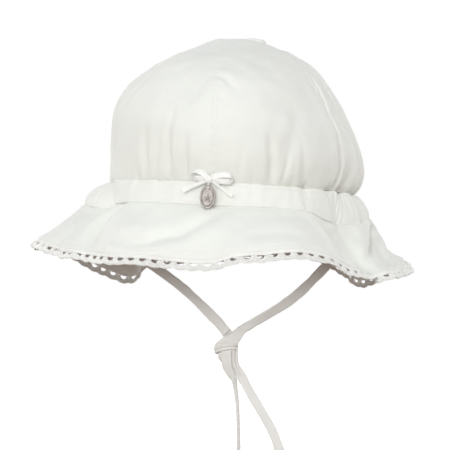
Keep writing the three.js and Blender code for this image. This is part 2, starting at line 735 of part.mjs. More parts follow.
// Oval charm: a plate with an eye at its top, a raised rim and a small raised flower
function charm() {
  const halfWidth = charmWidth / 2;
  const halfHeight = charmHeight / 2;
  const options = (depth) => ({ depth, bevelEnabled: false });
  const plateShape = ovalShape(halfWidth, halfHeight);
  const eye = new THREE.Shape();
  eye.absarc(0, halfHeight - charmRimWidth - 1.6 * charmEyeRadius, charmEyeRadius, 0, 2 * Math.PI, false);
  plateShape.holes.push(stepped(eye, 4));
  const plate = new THREE.ExtrudeGeometry(plateShape, options(charmThickness));
  const rimShape = ovalShape(halfWidth, halfHeight);
  rimShape.holes.push(ovalShape(halfWidth - charmRimWidth, halfHeight - charmRimWidth));
  const rim = new THREE.ExtrudeGeometry(rimShape, options(charmThickness + charmRelief));
  const parts = [plate, rim];
  const petalLength = halfWidth * 0.5;
  for (let k = 0; k < charmPetals; k += 1) {
    const petal = new THREE.SphereGeometry(1, 6, 4);
    petal.scale(petalLength / 2, petalLength / 4, charmRelief);
    petal.translate(petalLength * 0.62, 0, charmThickness);
    petal.rotateZ(Math.PI / 2 + (2 * Math.PI * k) / charmPetals);
    petal.translate(0, -charmHeight * 0.08, 0);
    parts.push(petal);
  }
  const geometry = fromManifold(joined(parts));
  geometry.rotateX(Math.PI / 2);
  const level = bandHeight - 1.9 - halfHeight;
  const wall = frontmost(halfWidth, level - halfHeight, level + halfHeight);
  return geometry.translate(ornamentX, wall - pieceGap, level);
}

const cloth = new THREE.MeshStandardMaterial({ color: clothColour, roughness: 0.9, metalness: 0 });
const lace = new THREE.MeshStandardMaterial({ color: laceColour, roughness: 0.85, metalness: 0 });
const satin = new THREE.MeshStandardMaterial({ color: satinColour, roughness: 0.35, metalness: 0 });
const metal = new THREE.MeshStandardMaterial({ color: metalColour, roughness: 0.3, metalness: 1 });

const group = new THREE.Group();

function addPiece(name, geometry, material) {
  const mesh = new THREE.Mesh(geometry, material);
  mesh.name = name;
  group.add(mesh);
}

const hemAzimuths = scallopAzimuths();
const halfGap = pieceGap / 2;

addPiece("crown_front_right", crownPanel(frontSeam, rightEarSeam, frontSteps), cloth);
addPiece("crown_front_left", crownPanel(leftEarSeam, frontSeam, frontSteps), cloth);
addPiece("crown_back_right", crownPanel(rightEarSeam, backSeam, backSteps), cloth);
addPiece("crown_back_left", crownPanel(backSeam, leftEarSeamRound, backSteps), cloth);
addPiece("crown_button", crownButton(), cloth);
addPiece("band", clothSheet(bandPoint, bandAzimuths(), even(2), true, { low: halfGap, high: -halfGap }), cloth);
addPiece("brim", clothSheet(brimPoint, hemAzimuths, even(4), true, { low: -halfGap }), cloth);
addPiece("lace_trim", laceTrim(hemAzimuths), lace);
addPiece("bow", bow(), satin);
addPiece("charm", charm(), metal);
addPiece("tie_left", strap([...sewnTop(-tieAzimuth), ...tieLeftRoute], 26), cloth);
addPiece("tie_right", strap([...sewnTop(tieAzimuth), ...tieRightRoute], 26), cloth);
addPiece("tie_knot", tieKnot(), cloth);
addPiece("tie_tail_left", strap(tailLeftRoute, 12), cloth);
addPiece("tie_tail_right", strap(tailRightRoute, 12), cloth);

export default group;
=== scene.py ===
import math

import bpy
import numpy as np
from mathutils import Matrix, Vector


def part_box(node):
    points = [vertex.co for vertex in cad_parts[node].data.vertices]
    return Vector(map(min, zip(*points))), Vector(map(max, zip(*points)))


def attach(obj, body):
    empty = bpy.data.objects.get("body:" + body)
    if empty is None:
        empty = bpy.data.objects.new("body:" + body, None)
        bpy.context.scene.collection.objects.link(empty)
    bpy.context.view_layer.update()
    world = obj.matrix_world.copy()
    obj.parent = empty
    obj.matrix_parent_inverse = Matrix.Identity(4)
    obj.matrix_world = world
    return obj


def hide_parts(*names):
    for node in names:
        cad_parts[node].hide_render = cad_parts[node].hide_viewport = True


# A baby's white cotton sun hat, dressed for its picture: fine cloth over the solids' main shapes, with seams,
# gathers, stitches, crocheted lace, a satin bow, a cast charm and chin ties tied in a knot. Metres, +Z up, the
# front of the hat facing -Y. An azimuth is in degrees from the front, positive towards +X.

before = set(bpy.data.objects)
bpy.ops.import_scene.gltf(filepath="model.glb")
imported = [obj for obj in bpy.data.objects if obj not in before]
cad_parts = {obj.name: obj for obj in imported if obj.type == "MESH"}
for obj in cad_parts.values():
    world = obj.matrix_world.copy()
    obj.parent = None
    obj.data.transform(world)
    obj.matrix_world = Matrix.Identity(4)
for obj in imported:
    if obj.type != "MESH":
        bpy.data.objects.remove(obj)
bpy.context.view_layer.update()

MM = 0.001

# Head opening and crown
HEAD_HALF_WIDTH = 66 * MM
HEAD_HALF_LENGTH = 74 * MM
CROWN_HEIGHT = 77.4 * MM
APEX_SHIFT_X = 4 * MM
APEX_SHIFT_Y = 3 * MM
APEX_HOLE = 2.2 * MM
EAR_SEAM_AZIMUTH = 63.5

# Puff of cloth beside the crown's top: its height, its place and width as shares of the half width, and the
# azimuth and arc that it covers
TOP_PUFF = 3.6 * MM
TOP_PUFF_REACH = 0.28
TOP_PUFF_WIDTH = 0.11
TOP_PUFF_AZIMUTH = -70
TOP_PUFF_ARC = 75

# Band and gathers
BAND_HEIGHT = 11.3 * MM
SEAM_DIP = 6.3 * MM
PUFF_REACH = 12 * MM
GATHER_COUNT = 24
GATHER_DEPTH = 1.9 * MM
GATHER_FADE_UP = 15 * MM
GATHER_FADE_DOWN = 13 * MM
GATHER_START_ANGLE = 45
CROWN_FOLD_DEPTH = 1.9 * MM
BRIM_FOLD_DEPTH = 4 * MM

# Brim and lace
BRIM_REACH = 27 * MM
BRIM_DROP = 30 * MM
BRIM_BELLY = 0.3
BRIM_LENGTH = math.hypot(BRIM_REACH, BRIM_DROP)
SCALLOP_PITCH = 6.7 * MM
LACE_INSET = 0.6 * MM

# Cloth, seams and stitches
CLOTH_THICKNESS = 1.1 * MM
PANEL_EDGE = 0.35 * MM
TUCK_DEPTH = 1.0 * MM
TUCK_LIFT = 1.6 * MM
SEAM_GROOVE = 0.35 * MM
SEAM_GROOVE_WIDTH = 0.6 * MM
SEAM_RIDGE = 0.16 * MM
SEAM_RIDGE_WIDTH = 0.5 * MM
SEAM_RIPPLE = 0.08 * MM
SEAM_RIPPLE_WIDTH = 4 * MM
SEAM_SINK = 0.5 * MM
STITCH_DIMPLE = 0.14 * MM
STITCH_DIMPLE_WIDTH = 0.35 * MM
CASING_PUFF = 0.45 * MM
CASING_EDGE = 0.5 * MM
CASING_DIMPLE = 0.16 * MM
HEM_FOLD_LIFT = 0.28 * MM
HEM_FOLD_PAST_STITCHES = 0.5 * MM
HEM_FOLD_STEP = 0.25 * MM
HEM_DIMPLE = 0.26 * MM
HEM_DIMPLE_WIDTH = 0.3 * MM
HEM_ROUNDING = 0.2 * MM
EAR_PUFF = 1.5 * MM
EAR_PUFF_AHEAD = 4.5 * MM
EAR_PUFF_WIDTH = 3.5 * MM
EAR_HOLLOW = 2.2 * MM
EAR_HOLLOW_BEHIND = 1.8 * MM
EAR_HOLLOW_WIDTH = 2.0 * MM
TOPSTITCH_AWAY = 1.5 * MM
HEM_STITCH_LINES = (3.7 * MM, 4.5 * MM)
STITCH_PITCH = 2.3 * MM
STITCH_LENGTH = 1.7 * MM
STITCH_RADIUS = 0.15 * MM

# Bow, charm and ties
ORNAMENT_X = -2.2 * MM
RIBBON_WIDTH = 3 * MM
RIBBON_THICKNESS = 0.35 * MM
RIBBON_SQUARE = 0.35
BOW_STAND_OFF = 2.3 * MM
BOW_RISE = 0.8 * MM
TIE_WIDTH = 5 * MM
TIE_THICKNESS = 0.9 * MM
TIE_AZIMUTH = 80
TIE_TUCK = 6 * MM
TIE_TUCK_END = 0.5 * MM
TIE_SEAT = 0.4 * MM
TIE_STITCH_INSET = 0.9 * MM
TIE_STEPS = 150
TIE_SIDES = 16

ROUND_STEPS = 720
CROWN_ROWS = 104
HEM_SAMPLES = 2881
STITCH_SAMPLES = 1400
SHARP_ANGLE = 55
FLOOR_LEVEL = -146 * MM
FLOOR_SIDE = 12.0

RIGHT = np.array([1.0, 0, 0])
UP = np.array([0, 0, 1.0])
FRONT = np.array([0, -1.0, 0])


def table(names, rows):
    """A short table as one array for each named column."""
    return {name: np.array(values, float) for name, values in zip(names.split(), zip(*rows))}


# Reach of the cloth at the band's two seams, as shares of the head's half length (front, back) and half width
BAND_TOP_REACH = {"front": 0.985, "right": 0.94, "back": 0.985, "left": 1.045}
BAND_LOW_REACH = {"front": 1.0, "right": 0.98, "back": 1.02, "left": 1.06}
SIDES = ("front", "right", "back", "left")

# Crown sections from the band to the top, all as shares, with the azimuth of the centre front seam
CROWN_SECTIONS = table("rise front right back left seam", [
    (0.0, 0.985, 0.94, 0.985, 1.045, 0),
    (0.08, 1.03, 0.98, 1.03, 1.035, 0),
    (0.19, 1.065, 0.995, 1.06, 1.035, -0.8),
    (0.34, 1.065, 0.95, 1.06, 1.05, -1),
    (0.46, 1.03, 0.875, 1.02, 1.055, -2),
    (0.58, 0.955, 0.785, 0.945, 1.02, -3),
    (0.7, 0.85, 0.675, 0.84, 0.93, -4),
    (0.81, 0.71, 0.555, 0.7, 0.785, -6),
    (0.9, 0.53, 0.4, 0.52, 0.605, -8),
    (0.96, 0.36, 0.265, 0.35, 0.44, -7),
    (0.99, 0.2, 0.145, 0.19, 0.27, -3.5),
    (0.996, 0.105, 0.1, 0.105, 0.11, -1),
    (1.0, 0, 0, 0, 0, 0),
])

# Level of the seam between band and brim, as a share of the seam's deepest dip
SEAM_LEVELS = table("azimuth level", [
    (-180, 0.1), (-120, 0), (-84, -0.1), (-66, -0.56), (-54, -0.16), (-40, -0.04), (0, -0.12),
    (34, -0.06), (46, -0.2), (57, -0.7), (67, -1.0), (80, -0.6), (96, -0.12), (130, 0),
])

# Puffs of the casing beside the ears and the hollows in front of them, as shares of the puffs' reach
SIDE_PUFFS = table("azimuth width swell", [
    (-84, 15, 1.0), (-61, 4, -0.28), (89, 17, 0.5), (66, 4, -0.2),
])

# Soft folds that rise from the band into the crown
CROWN_FOLDS = table("azimuth width depth up", [
    (-48, 4, 0.5, 0.24),
    (-36, 4, 0.9, 0.32),
    (-23, 4.5, 1.0, 0.42),
    (-13, 3.5, 0.7, 0.3),
    (11, 3, 0.35, 0.2),
    (26, 3.5, 0.6, 0.3),
    (42, 3.5, 0.45, 0.16),
    (61, 4, 0.6, 0.6),
    (73, 4, 0.7, 0.7),
    (-70, 4, 0.5, 0.3),
])

# The brim's hem: how far it stands out and how low it hangs, as shares of the brim's reach and drop, and how
# far the brim bellies between seam and hem, as a share of its belly. It flares where that is below 0.
BRIM_HEM = table("azimuth reach drop belly", [
    (-180, 1.0, 0.66, -0.8), (-163, 1.0, 0.78, -0.8), (-148, 0.98, 0.86, -0.6), (-136, 0.8, 0.94, 0.2),
    (-128, 0.62, 1.2, 0.4), (-119, 0.72, 1.12, 0.2), (-109, 0.9, 0.9, 0), (-96, 0.86, 0.74, -0.4),
    (-80, 0.87, 0.69, -0.2),
    (-62, 1.06, 0.79, 0.3), (-46, 0.98, 0.88, 0.6), (-29, 1.0, 0.92, 0.7), (-11, 0.98, 0.94, 0.7),
    (3, 0.98, 0.93, 0.7), (11, 1.03, 0.84, 0.7), (20, 1.07, 0.76, 0.7), (30, 1.09, 0.69, 0.6),
    (38, 1.05, 0.72, 0.5), (46, 0.98, 0.84, 0.3), (54, 0.93, 0.96, 0), (65, 0.92, 1.0, -0.8),
    (75, 0.84, 0.97, -1.4), (86, 0.74, 0.85, -1.6), (100, 0.74, 0.71, -1.2), (119, 0.9, 0.8, -0.3),
    (135, 0.78, 1.06, 0.4), (146, 0.86, 0.88, 0.2), (157, 0.96, 0.7, -0.4), (169, 1.0, 0.6, -0.8),
])

# Creases that run down the brim, from an azimuth at the seam to one at the hem. A ridge has a negative depth.
BRIM_FOLDS = table("seam hem width depth", [
    (-53, -42, 5.5, 1.0),
    (-66, -62, 5, -0.5),
    (-4, -22, 6, 0.35),
    (51, 60, 6.5, 1.4),
    (80, 68, 4.5, -0.5),
    (92, 88, 5, -0.5),
])

# The ties' routes: each point's place and the azimuth that the strap's flat side faces
TIE_LEFT_ROUTE = [
    (-0.0700, -0.0140, -0.0080, -60),
    (-0.0620, -0.0140, -0.0180, -30),
    (-0.0510, -0.0140, -0.0260, 0),
    (-0.0384, -0.0140, -0.0339, 0),
    (-0.0247, -0.0140, -0.0430, 0),
    (-0.0130, -0.0140, -0.0526, 0),
    (-0.0050, -0.0146, -0.0598, 0),
    (0.0006, -0.0154, -0.0652, 0),
]
TIE_RIGHT_ROUTE = [
    (0.0660, -0.0140, -0.0090, 60),
    (0.0595, -0.0140, -0.0180, 30),
    (0.0515, -0.0140, -0.0274, 5),
    (0.0377, -0.0140, -0.0425, 10),
    (0.0300, -0.0140, -0.0490, 35),
    (0.0231, -0.0140, -0.0537, 50),
    (0.0140, -0.0132, -0.0596, 20),
    (0.0064, -0.0126, -0.0646, 0),
]
TAIL_LEFT_ROUTE = [
    (0.0053, -0.0140, -0.0888, 74),
    (0.0066, -0.0140, -0.0950, 78),
    (0.0080, -0.0140, -0.1030, 78),
    (0.0091, -0.0140, -0.1146, 76),
    (0.0099, -0.0140, -0.1274, 74),
    (0.0105, -0.0140, -0.1400, 74),
]
TAIL_RIGHT_ROUTE = [
    (0.0093, -0.0140, -0.0878, 20),
    (0.0150, -0.0140, -0.0970, 15),
    (0.0215, -0.0140, -0.1065, 5),
    (0.0275, -0.0140, -0.1160, 0),
    (0.0320, -0.0140, -0.1270, 0),
    (0.0340, -0.0140, -0.1380, 0),
]


def add_object(name, data):
    """An object in the scene, with its mesh, camera or light."""
    made = bpy.data.objects.new(name, data)
    bpy.context.scene.collection.objects.link(made)
    return made


# Camera at the photo's angle, which leans a little

CAMERA_AZIMUTH = 9.8
CAMERA_ELEVATION = -1.5
CAMERA_ROLL = 3.0
CAMERA_DISTANCE = 1.3
PIXEL_SIZE = 0.534 * MM
PHOTO_SIDE = 450
ORIGIN_PIXEL = (237, 210)
SENSOR_WIDTH = 36.0
CAMERA_CLIP = (0.05, 50)


def make_camera():
    azimuth, elevation, roll = map(math.radians, (CAMERA_AZIMUTH, CAMERA_ELEVATION, CAMERA_ROLL))
    towards = Vector((math.sin(azimuth) * math.cos(elevation), -math.cos(azimuth) * math.cos(elevation),
                      math.sin(elevation)))
    level = Vector((math.cos(azimuth), math.sin(azimuth), 0))
    upright = towards.cross(level)
    right = level * math.cos(roll) + upright * math.sin(roll)
    up = upright * math.cos(roll) - level * math.sin(roll)
    across = (PHOTO_SIDE / 2 - ORIGIN_PIXEL[0]) * PIXEL_SIZE
    down = (PHOTO_SIDE / 2 - ORIGIN_PIXEL[1]) * PIXEL_SIZE
    place = right * across - up * down + towards * CAMERA_DISTANCE
    data = bpy.data.cameras.new("camera")
    data.sensor_width = SENSOR_WIDTH
    data.lens = CAMERA_DISTANCE * SENSOR_WIDTH / (PHOTO_SIDE * PIXEL_SIZE)
    data.clip_start, data.clip_end = CAMERA_CLIP
    camera = add_object("camera", data)
    camera.matrix_world = Matrix((right, up, towards)).transposed().to_4x4()
    camera.location = place
    bpy.context.scene.camera = camera


# Shapes shared by the solids and the cloth

def bell(offset):
    return np.exp(-np.square(offset))


def turn_from(azimuth, centre):
    return (azimuth - centre + 540) % 360 - 180


def hermite(a, b, slope_a, slope_b, span, share):
    s2 = share * share
    s3 = s2 * share
    bend = (s3 - 2 * s2 + share) * slope_a + (s3 - s2) * slope_b
    return (2 * s3 - 3 * s2 + 1) * a + (3 * s2 - 2 * s3) * b + bend * span


def round_value(rows, column, azimuth):
    """Smooth value of a column at an azimuth, closed round the head."""
    places = rows["azimuth"]
    values = rows[column]
    places = np.concatenate([places[-2:] - 360, places, places[:2] + 360])
    values = np.concatenate([values[-2:], values, values[:2]])
    slopes = np.zeros_like(values)
    slopes[1:-1] = (values[2:] - values[:-2]) / (places[2:] - places[:-2])
    first = rows["azimuth"][0]
    turn = (azimuth - first) % 360 + first
    at = np.searchsorted(places, turn, side="right") - 1
    span = places[at + 1] - places[at]
    return hermite(values[at], values[at + 1], slopes[at], slopes[at + 1], span, (turn - places[at]) / span)


def section_value(values, share):
    """Smooth value of a column whose rows lie evenly from a share of 0 to one of 1."""
    last = len(values) - 1
    slopes = np.gradient(values)
    place = np.clip(share, 0, 1) * last
    at = np.minimum(place.astype(int), last - 1)
    return hermite(values[at], values[at + 1], slopes[at], slopes[at + 1], 1, place - at)


def oval_point(azimuth, reach, push, shift_share, level):
    side = np.sin(np.radians(azimuth))
    ahead = np.cos(np.radians(azimuth))
    half_width = np.where(side > 0, reach["right"], reach["left"]) * HEAD_HALF_WIDTH + push
    half_length = np.where(ahead > 0, reach["front"], reach["back"]) * HEAD_HALF_LENGTH + push
    x = half_width * side + APEX_SHIFT_X * shift_share
    y = -half_length * ahead + APEX_SHIFT_Y * shift_share
    return np.stack(np.broadcast_arrays(x, y, level), axis=-1)


def gather_wave(azimuth):
    """Gathers of the elastic behind the ear seams: narrow hollows and round ridges, unevenly spread."""
    past = np.abs(turn_from(azimuth, 0)) - EAR_SEAM_AZIMUTH
    turn = np.radians(azimuth)
    phase = past / (360 - 2 * EAR_SEAM_AZIMUTH) * GATHER_COUNT * 2 * np.pi
    phase = phase + 0.8 * np.sin(5 * turn + 0.7) + 0.6 * np.sin(11 * turn + 2.1)
    ridge = np.power(0.5 - 0.5 * np.cos(phase), 0.7) * 2 - 1
    height = 0.8 + 0.25 * np.sin(7 * turn + 1.3)
    fine = 0.22 * np.sin(83 * turn + 1.1 * np.sin(9 * turn)) + 0.16 * np.sin(121 * turn + 4.0)
    return np.where(past > 0, (ridge * height + fine) * np.clip(past / GATHER_START_ANGLE, 0, 1), 0)


def puff_swell(azimuth):
    swell = 0
    for centre, width, share in zip(*SIDE_PUFFS.values()):
        swell = swell + share * bell(turn_from(azimuth, centre) / width)
    return swell * PUFF_REACH


def crown_point(azimuth, share):
    row = {name: section_value(values, share) for name, values in CROWN_SECTIONS.items()}
    rise = row["rise"] * CROWN_HEIGHT
    fade = np.minimum(1, row["front"])
    reach_up = 0.75 * np.exp(-rise / GATHER_FADE_UP) + 0.25 * np.exp(-rise / (2.5 * GATHER_FADE_UP))
    push = gather_wave(azimuth) * GATHER_DEPTH * reach_up
    for centre, width, depth, up in zip(*CROWN_FOLDS.values()):
        fold = depth * CROWN_FOLD_DEPTH * bell(row["rise"] / up) * fade
        push = push - fold * bell(turn_from(azimuth, centre) / width)
    hole = APEX_HOLE * (1 - fade)
    puff = TOP_PUFF * bell((row["left"] - TOP_PUFF_REACH) / TOP_PUFF_WIDTH)
    level = BAND_HEIGHT + rise + puff * bell(turn_from(azimuth, TOP_PUFF_AZIMUTH) / TOP_PUFF_ARC)
    return oval_point(azimuth, row, push + hole, row["rise"] ** 2, level)


def seam_level(azimuth):
    return round_value(SEAM_LEVELS, "level", azimuth) * SEAM_DIP


def band_point(azimuth, share):
    row = {side: BAND_LOW_REACH[side] + (BAND_TOP_REACH[side] - BAND_LOW_REACH[side]) * share
           for side in SIDES}
    push = gather_wave(azimuth) * GATHER_DEPTH + puff_swell(azimuth) * (1 - share * share)
    for centre, width, depth, up in zip(*CROWN_FOLDS.values()):
        push = push - depth * CROWN_FOLD_DEPTH * share * bell(turn_from(azimuth, centre) / width)
    low = seam_level(azimuth)
    return oval_point(azimuth, row, push, 0, low + (BAND_HEIGHT - low) * share)


def brim_point(azimuth, share):
    """The brim leaves the seam flatter and ends at the hem steeper."""
    belly = round_value(BRIM_HEM, "belly", azimuth) * BRIM_BELLY
    outward = share * (1 + belly * (1 - share))
    downward = share * (1 - belly * (1 - share))
    reach = round_value(BRIM_HEM, "reach", azimuth) * BRIM_REACH
    hem_level = -round_value(BRIM_HEM, "drop", azimuth) * BRIM_DROP
    low = seam_level(azimuth)
    push = puff_swell(azimuth) + reach * outward
    push = push + gather_wave(azimuth) * GATHER_DEPTH * np.exp(-share * BRIM_REACH / GATHER_FADE_DOWN)
    for seam, hem, width, depth in zip(*BRIM_FOLDS.values()):
        centre = seam + (hem - seam) * share
        swell = np.sin(np.pi * np.minimum(1, 0.05 + 0.77 * share))
        push = push - depth * BRIM_FOLD_DEPTH * swell * bell(turn_from(azimuth, centre) / width)
    return oval_point(azimuth, BAND_LOW_REACH, push, 0, low + (hem_level - low) * downward)


def unit(vectors):
    return vectors / np.maximum(np.linalg.norm(vectors, axis=-1, keepdims=True), 1e-12)


def surface_normal(surface, azimuth, share):
    """Unit normal of a surface, pointing away from the head."""
    step = 0.008
    turn = 0.25
    across = surface(azimuth + turn, share) - surface(azimuth - turn, share)
    low = np.maximum(share - step, 0)
    high = np.minimum(share + step, 1)
    along = surface(azimuth, high) - surface(azimuth, low)
    normal = unit(np.cross(across, along))
    return -normal if surface is brim_point else normal


def laid_on(surface, azimuth, share):
    """Azimuths and shares of one size, with the places and normals of a main shape there."""
    azimuth, share = np.broadcast_arrays(np.asarray(azimuth, float), np.asarray(share, float))
    return azimuth, share, surface(azimuth, share), surface_normal(surface, azimuth, share)


# Relief of the cloth over the main shapes

def waves(points, seed, shortest, longest, count=18):
    """Smooth uneven waves in space, from about -1 to 1, with no seam."""
    rng = np.random.default_rng(seed)
    value = 0
    for _ in range(count):
        direction = unit(rng.normal(size=3))
        length = rng.uniform(shortest, longest)
        value = value + np.sin(points @ direction * (2 * np.pi / length) + rng.uniform(0, 2 * np.pi))
    return value / math.sqrt(count)


def rolling(points, rows):
    """Waves of several lengths. A row is a depth in mm, a seed, and the shortest and longest wave in mm."""
    return sum(depth * MM * waves(points, seed, shortest * MM, longest * MM)
               for depth, seed, shortest, longest in rows)


def puckers(azimuth, away, seed, count, size, front_share):
    """Small folds that start at a seam and die out away from it. They are weaker in front of the ear seams."""
    rng = np.random.default_rng(seed)
    value = 0
    for place in np.sort(rng.uniform(-180, 180, count)):
        width = rng.uniform(0.7, 2.2)
        lean = rng.uniform(-0.12, 0.12) / MM
        depth = rng.uniform(0.35, 1.0) * width * size
        if abs(place) < EAR_SEAM_AZIMUTH:
            depth *= front_share
        across = turn_from(azimuth, place + lean * away) / width
        value = value - depth * bell(across) * np.exp(-away / (width * 4.5 * MM))
    return value


def crease(points, line, width, depth):
    """A soft crease along a line of points, with a low ridge on each side."""
    nearest = np.full(points.shape[:-1], np.inf)
    fade = np.zeros(points.shape[:-1])
    lengths = np.linalg.norm(np.diff(line, axis=0), axis=1)
    done = 0
    for start, end, length in zip(line[:-1], line[1:], lengths):
        along = np.clip(((points - start) @ (end - start)) / length ** 2, 0, 1)
        away = np.linalg.norm(points - (start + along[..., None] * (end - start)), axis=-1)
        share = (done + along * length) / lengths.sum()
        fade = np.where(away < nearest, np.sin(np.pi * np.clip(share, 0.03, 0.97)) ** 0.6, fade)
        nearest = np.minimum(nearest, away)
        done += length
    return depth * fade * (0.35 * bell((nearest - 2 * width) / (1.2 * width)) - bell(nearest / width))


def seam_relief(away, along, seed, strength):
    """Groove at a seam, a dimpled line of topstitching on each side, and the small ripples of its pull."""
    rng = np.random.default_rng(seed)
    ripple = 0
    for _ in range(5):
        length = rng.uniform(3, 7) * MM
        ripple = ripple + np.sin(along * (2 * np.pi / length) + rng.uniform(0, 2 * np.pi))
    groove = -SEAM_GROOVE * np.exp(-away / SEAM_GROOVE_WIDTH)
    stitch = -STITCH_DIMPLE * bell((away - TOPSTITCH_AWAY) / STITCH_DIMPLE_WIDTH)
    ridge = SEAM_RIDGE * bell((away - 0.5 * TOPSTITCH_AWAY) / SEAM_RIDGE_WIDTH)
    return strength * (groove + stitch + ridge) + SEAM_RIPPLE * ripple * bell(away / SEAM_RIPPLE_WIDTH)


# Creases of the crown and the brim: each line's points as azimuth and share, then its width and depth in mm. A
# ridge has a negative depth.
CROWN_CREASES = [
    ([(-7, 0.51), (-1, 0.49), (7, 0.44)], 1.8, 0.9),
    ([(-52, 0.52), (-40, 0.6), (-30, 0.6)], 4.0, 0.7),
    ([(-32, 0.5), (-20, 0.56), (-10, 0.52)], 3.0, 0.5),
    ([(18, 0.62), (30, 0.66), (44, 0.62)], 2.6, 0.5),
    ([(-18, 0.3), (-12, 0.42), (-9, 0.5)], 2.4, 0.4),
    ([(-4, 0.42), (0, 0.4), (4, 0.37)], 1.5, 0.45),
    ([(12, 0.48), (24, 0.52), (36, 0.51)], 3.0, 0.45),
    ([(-40, 0.57), (-25, 0.64), (-12, 0.66)], 3.5, 0.5),
    ([(-58, 0.31), (-50, 0.44), (-44, 0.55)], 2.4, 0.5),
    ([(30, 0.09), (36, 0.22), (40, 0.38)], 3.2, 0.6),
    ([(-22.5, 0.0), (-22, 0.12), (-20.5, 0.34)], 2.0, 1.8),
    ([(-13, 0.0), (-13.2, 0.1), (-13, 0.22)], 1.6, 1.4),
    ([(-36, 0.0), (-35.5, 0.1), (-34.5, 0.24)], 2.1, 1.4),
    ([(-29, 0.0), (-28.5, 0.08), (-28, 0.14)], 1.0, 0.45),
    ([(10.8, 0.0), (11.5, 0.1), (12.5, 0.2)], 1.2, 0.4),
    ([(26.5, 0.0), (26, 0.12), (24.5, 0.24)], 1.9, 1.2),
    ([(31.5, 0.0), (32.5, 0.1), (34, 0.18)], 1.2, 0.5),
    ([(42, 0.0), (41.5, 0.12), (40, 0.24)], 2.0, 0.8),
    ([(79, 0.03), (80, 0.2), (78, 0.4), (74, 0.6)], 1.2, 2.0),
    ([(64.5, 0.05), (64.6, 0.25), (64.8, 0.5), (65, 0.72)], 1.1, 2.4),
    ([(150, 0.2), (160, 0.4), (175, 0.52)], 3.2, 0.8),
    ([(-150, 0.3), (-135, 0.45), (-120, 0.5)], 3.2, 0.8),
    ([(100, 0.3), (112, 0.46), (122, 0.62)], 3.0, 0.7),
]
BRIM_CREASES = [
    ([(7, 0.0), (0, 0.3), (-9, 0.6), (-21, 0.78), (-34, 0.82)], 4.2, 1.9),
    ([(-22, 0.66), (-32, 0.72), (-42, 0.62)], 3.0, 0.6),
    ([(12, 0.74), (24, 0.64), (36, 0.74)], 4.0, 0.9),
    ([(58, 0.1), (60, 0.4), (62, 0.7), (65, 0.97)], 6.5, 4.8),
    ([(43, 0.08), (44, 0.35), (46, 0.65), (48, 0.95)], 4.5, -1.7),
    ([(79, 0.0), (73, 0.3), (68, 0.55), (65, 0.7)], 4.2, -1.4),
    ([(94, 0.0), (84, 0.25), (76, 0.45), (69, 0.64)], 1.8, 3.2),
    ([(97, 0.25), (91, 0.45), (86, 0.7), (84, 0.9)], 3.0, -1.2),
    ([(-48, 0.0), (-47, 0.5), (-44, 0.95)], 4.4, 3.0),
    ([(-57, 0.1), (-55, 0.5), (-54, 0.85)], 1.8, 0.6),
]


def relief_of(creases, surface, points):
    relief = 0
    for line, width, depth in creases:
        azimuth, share = (np.array(values, float) for values in zip(*line))
        relief += crease(points, surface(azimuth, share), width * MM, depth * MM)
    return relief


# Azimuths of the crown's seams at the band, each with how strongly it shows
CROWN_SEAMS = {0: 0.4, EAR_SEAM_AZIMUTH: 0.5, 180: 1, -EAR_SEAM_AZIMUTH: 0.7}


def seam_azimuth(turn, share):
    """Azimuth of a crown seam part of the way up. Only the front seam sways."""
    return section_value(CROWN_SECTIONS["seam"], share) if turn == 0 else turn


# Rolling of each cloth: depth in mm, seed, shortest and longest wave in mm
CROWN_ROLLING = [(0.6, 11, 22, 48), (0.05, 12, 4, 9), (0.16, 13, 9, 18)]
BAND_ROLLING = [(0.2, 42, 12, 30), (0.04, 43, 3, 7)]
BRIM_ROLLING = [(0.7, 51, 20, 42)]
BRIM_RIPPLES = [(0.14, 54, 8, 16), (0.05, 52, 4, 9)]

# Small folds bunched behind the right ear seam, where the elastic starts. Depths and heights are in mm.
EAR_GATHERS = table("azimuth width depth height", [
    (66.5, 0.8, 0.7, 15), (68.8, 0.7, 0.9, 21), (71, 0.8, 0.8, 17), (73.4, 0.7, 0.6, 12),
])


def ear_gathers(azimuth, away):
    value = 0
    for place, width, depth, height in zip(*EAR_GATHERS.values()):
        value = value - depth * MM * bell(turn_from(azimuth, place) / width) * bell(away / (height * MM))
    return value


def crown_cloth(azimuth, share):
    """Places and normals of the crown's outer face."""
    azimuth, share, point, normal = laid_on(crown_point, azimuth, share)
    radius = np.hypot(point[..., 0] - APEX_SHIFT_X * share, point[..., 1] - APEX_SHIFT_Y * share)
    height = point[..., 2] - BAND_HEIGHT
    relief = rolling(point, CROWN_ROLLING) * np.clip(height / (9 * MM), 0.25, 1)
    relief += relief_of(CROWN_CREASES, crown_point, point)
    for number, (seam, strength) in enumerate(CROWN_SEAMS.items()):
        away = np.abs(np.radians(turn_from(azimuth, seam_azimuth(seam, share)))) * radius
        relief += seam_relief(away, height, 20 + number, strength)
    relief += puckers(azimuth, height, 31, 150, 0.6 * MM, 0.8)
    # At the right ear seam the front panel puffs up over the hollow of the gathered one behind it
    behind = turn_from(azimuth, EAR_SEAM_AZIMUTH) * np.radians(radius)
    step = EAR_PUFF * bell((behind + EAR_PUFF_AHEAD) / EAR_PUFF_WIDTH)
    step -= EAR_HOLLOW * bell((behind - EAR_HOLLOW_BEHIND) / EAR_HOLLOW_WIDTH)
    step = step * (1 - 0.8 * np.exp(-height / (5 * MM)))
    relief += step * bell(share / 0.5) * (1 + 0.25 * np.sin(height * 2 * np.pi / (17 * MM)))
    relief += ear_gathers(azimuth, height)
    front = bell(turn_from(azimuth, 0) / 62)
    relief += (front - 0.9) * MM * np.exp(-height / (4 * MM)) - 0.5 * MM * np.exp(-height / (1.2 * MM))
    return point + relief[..., None] * normal, normal


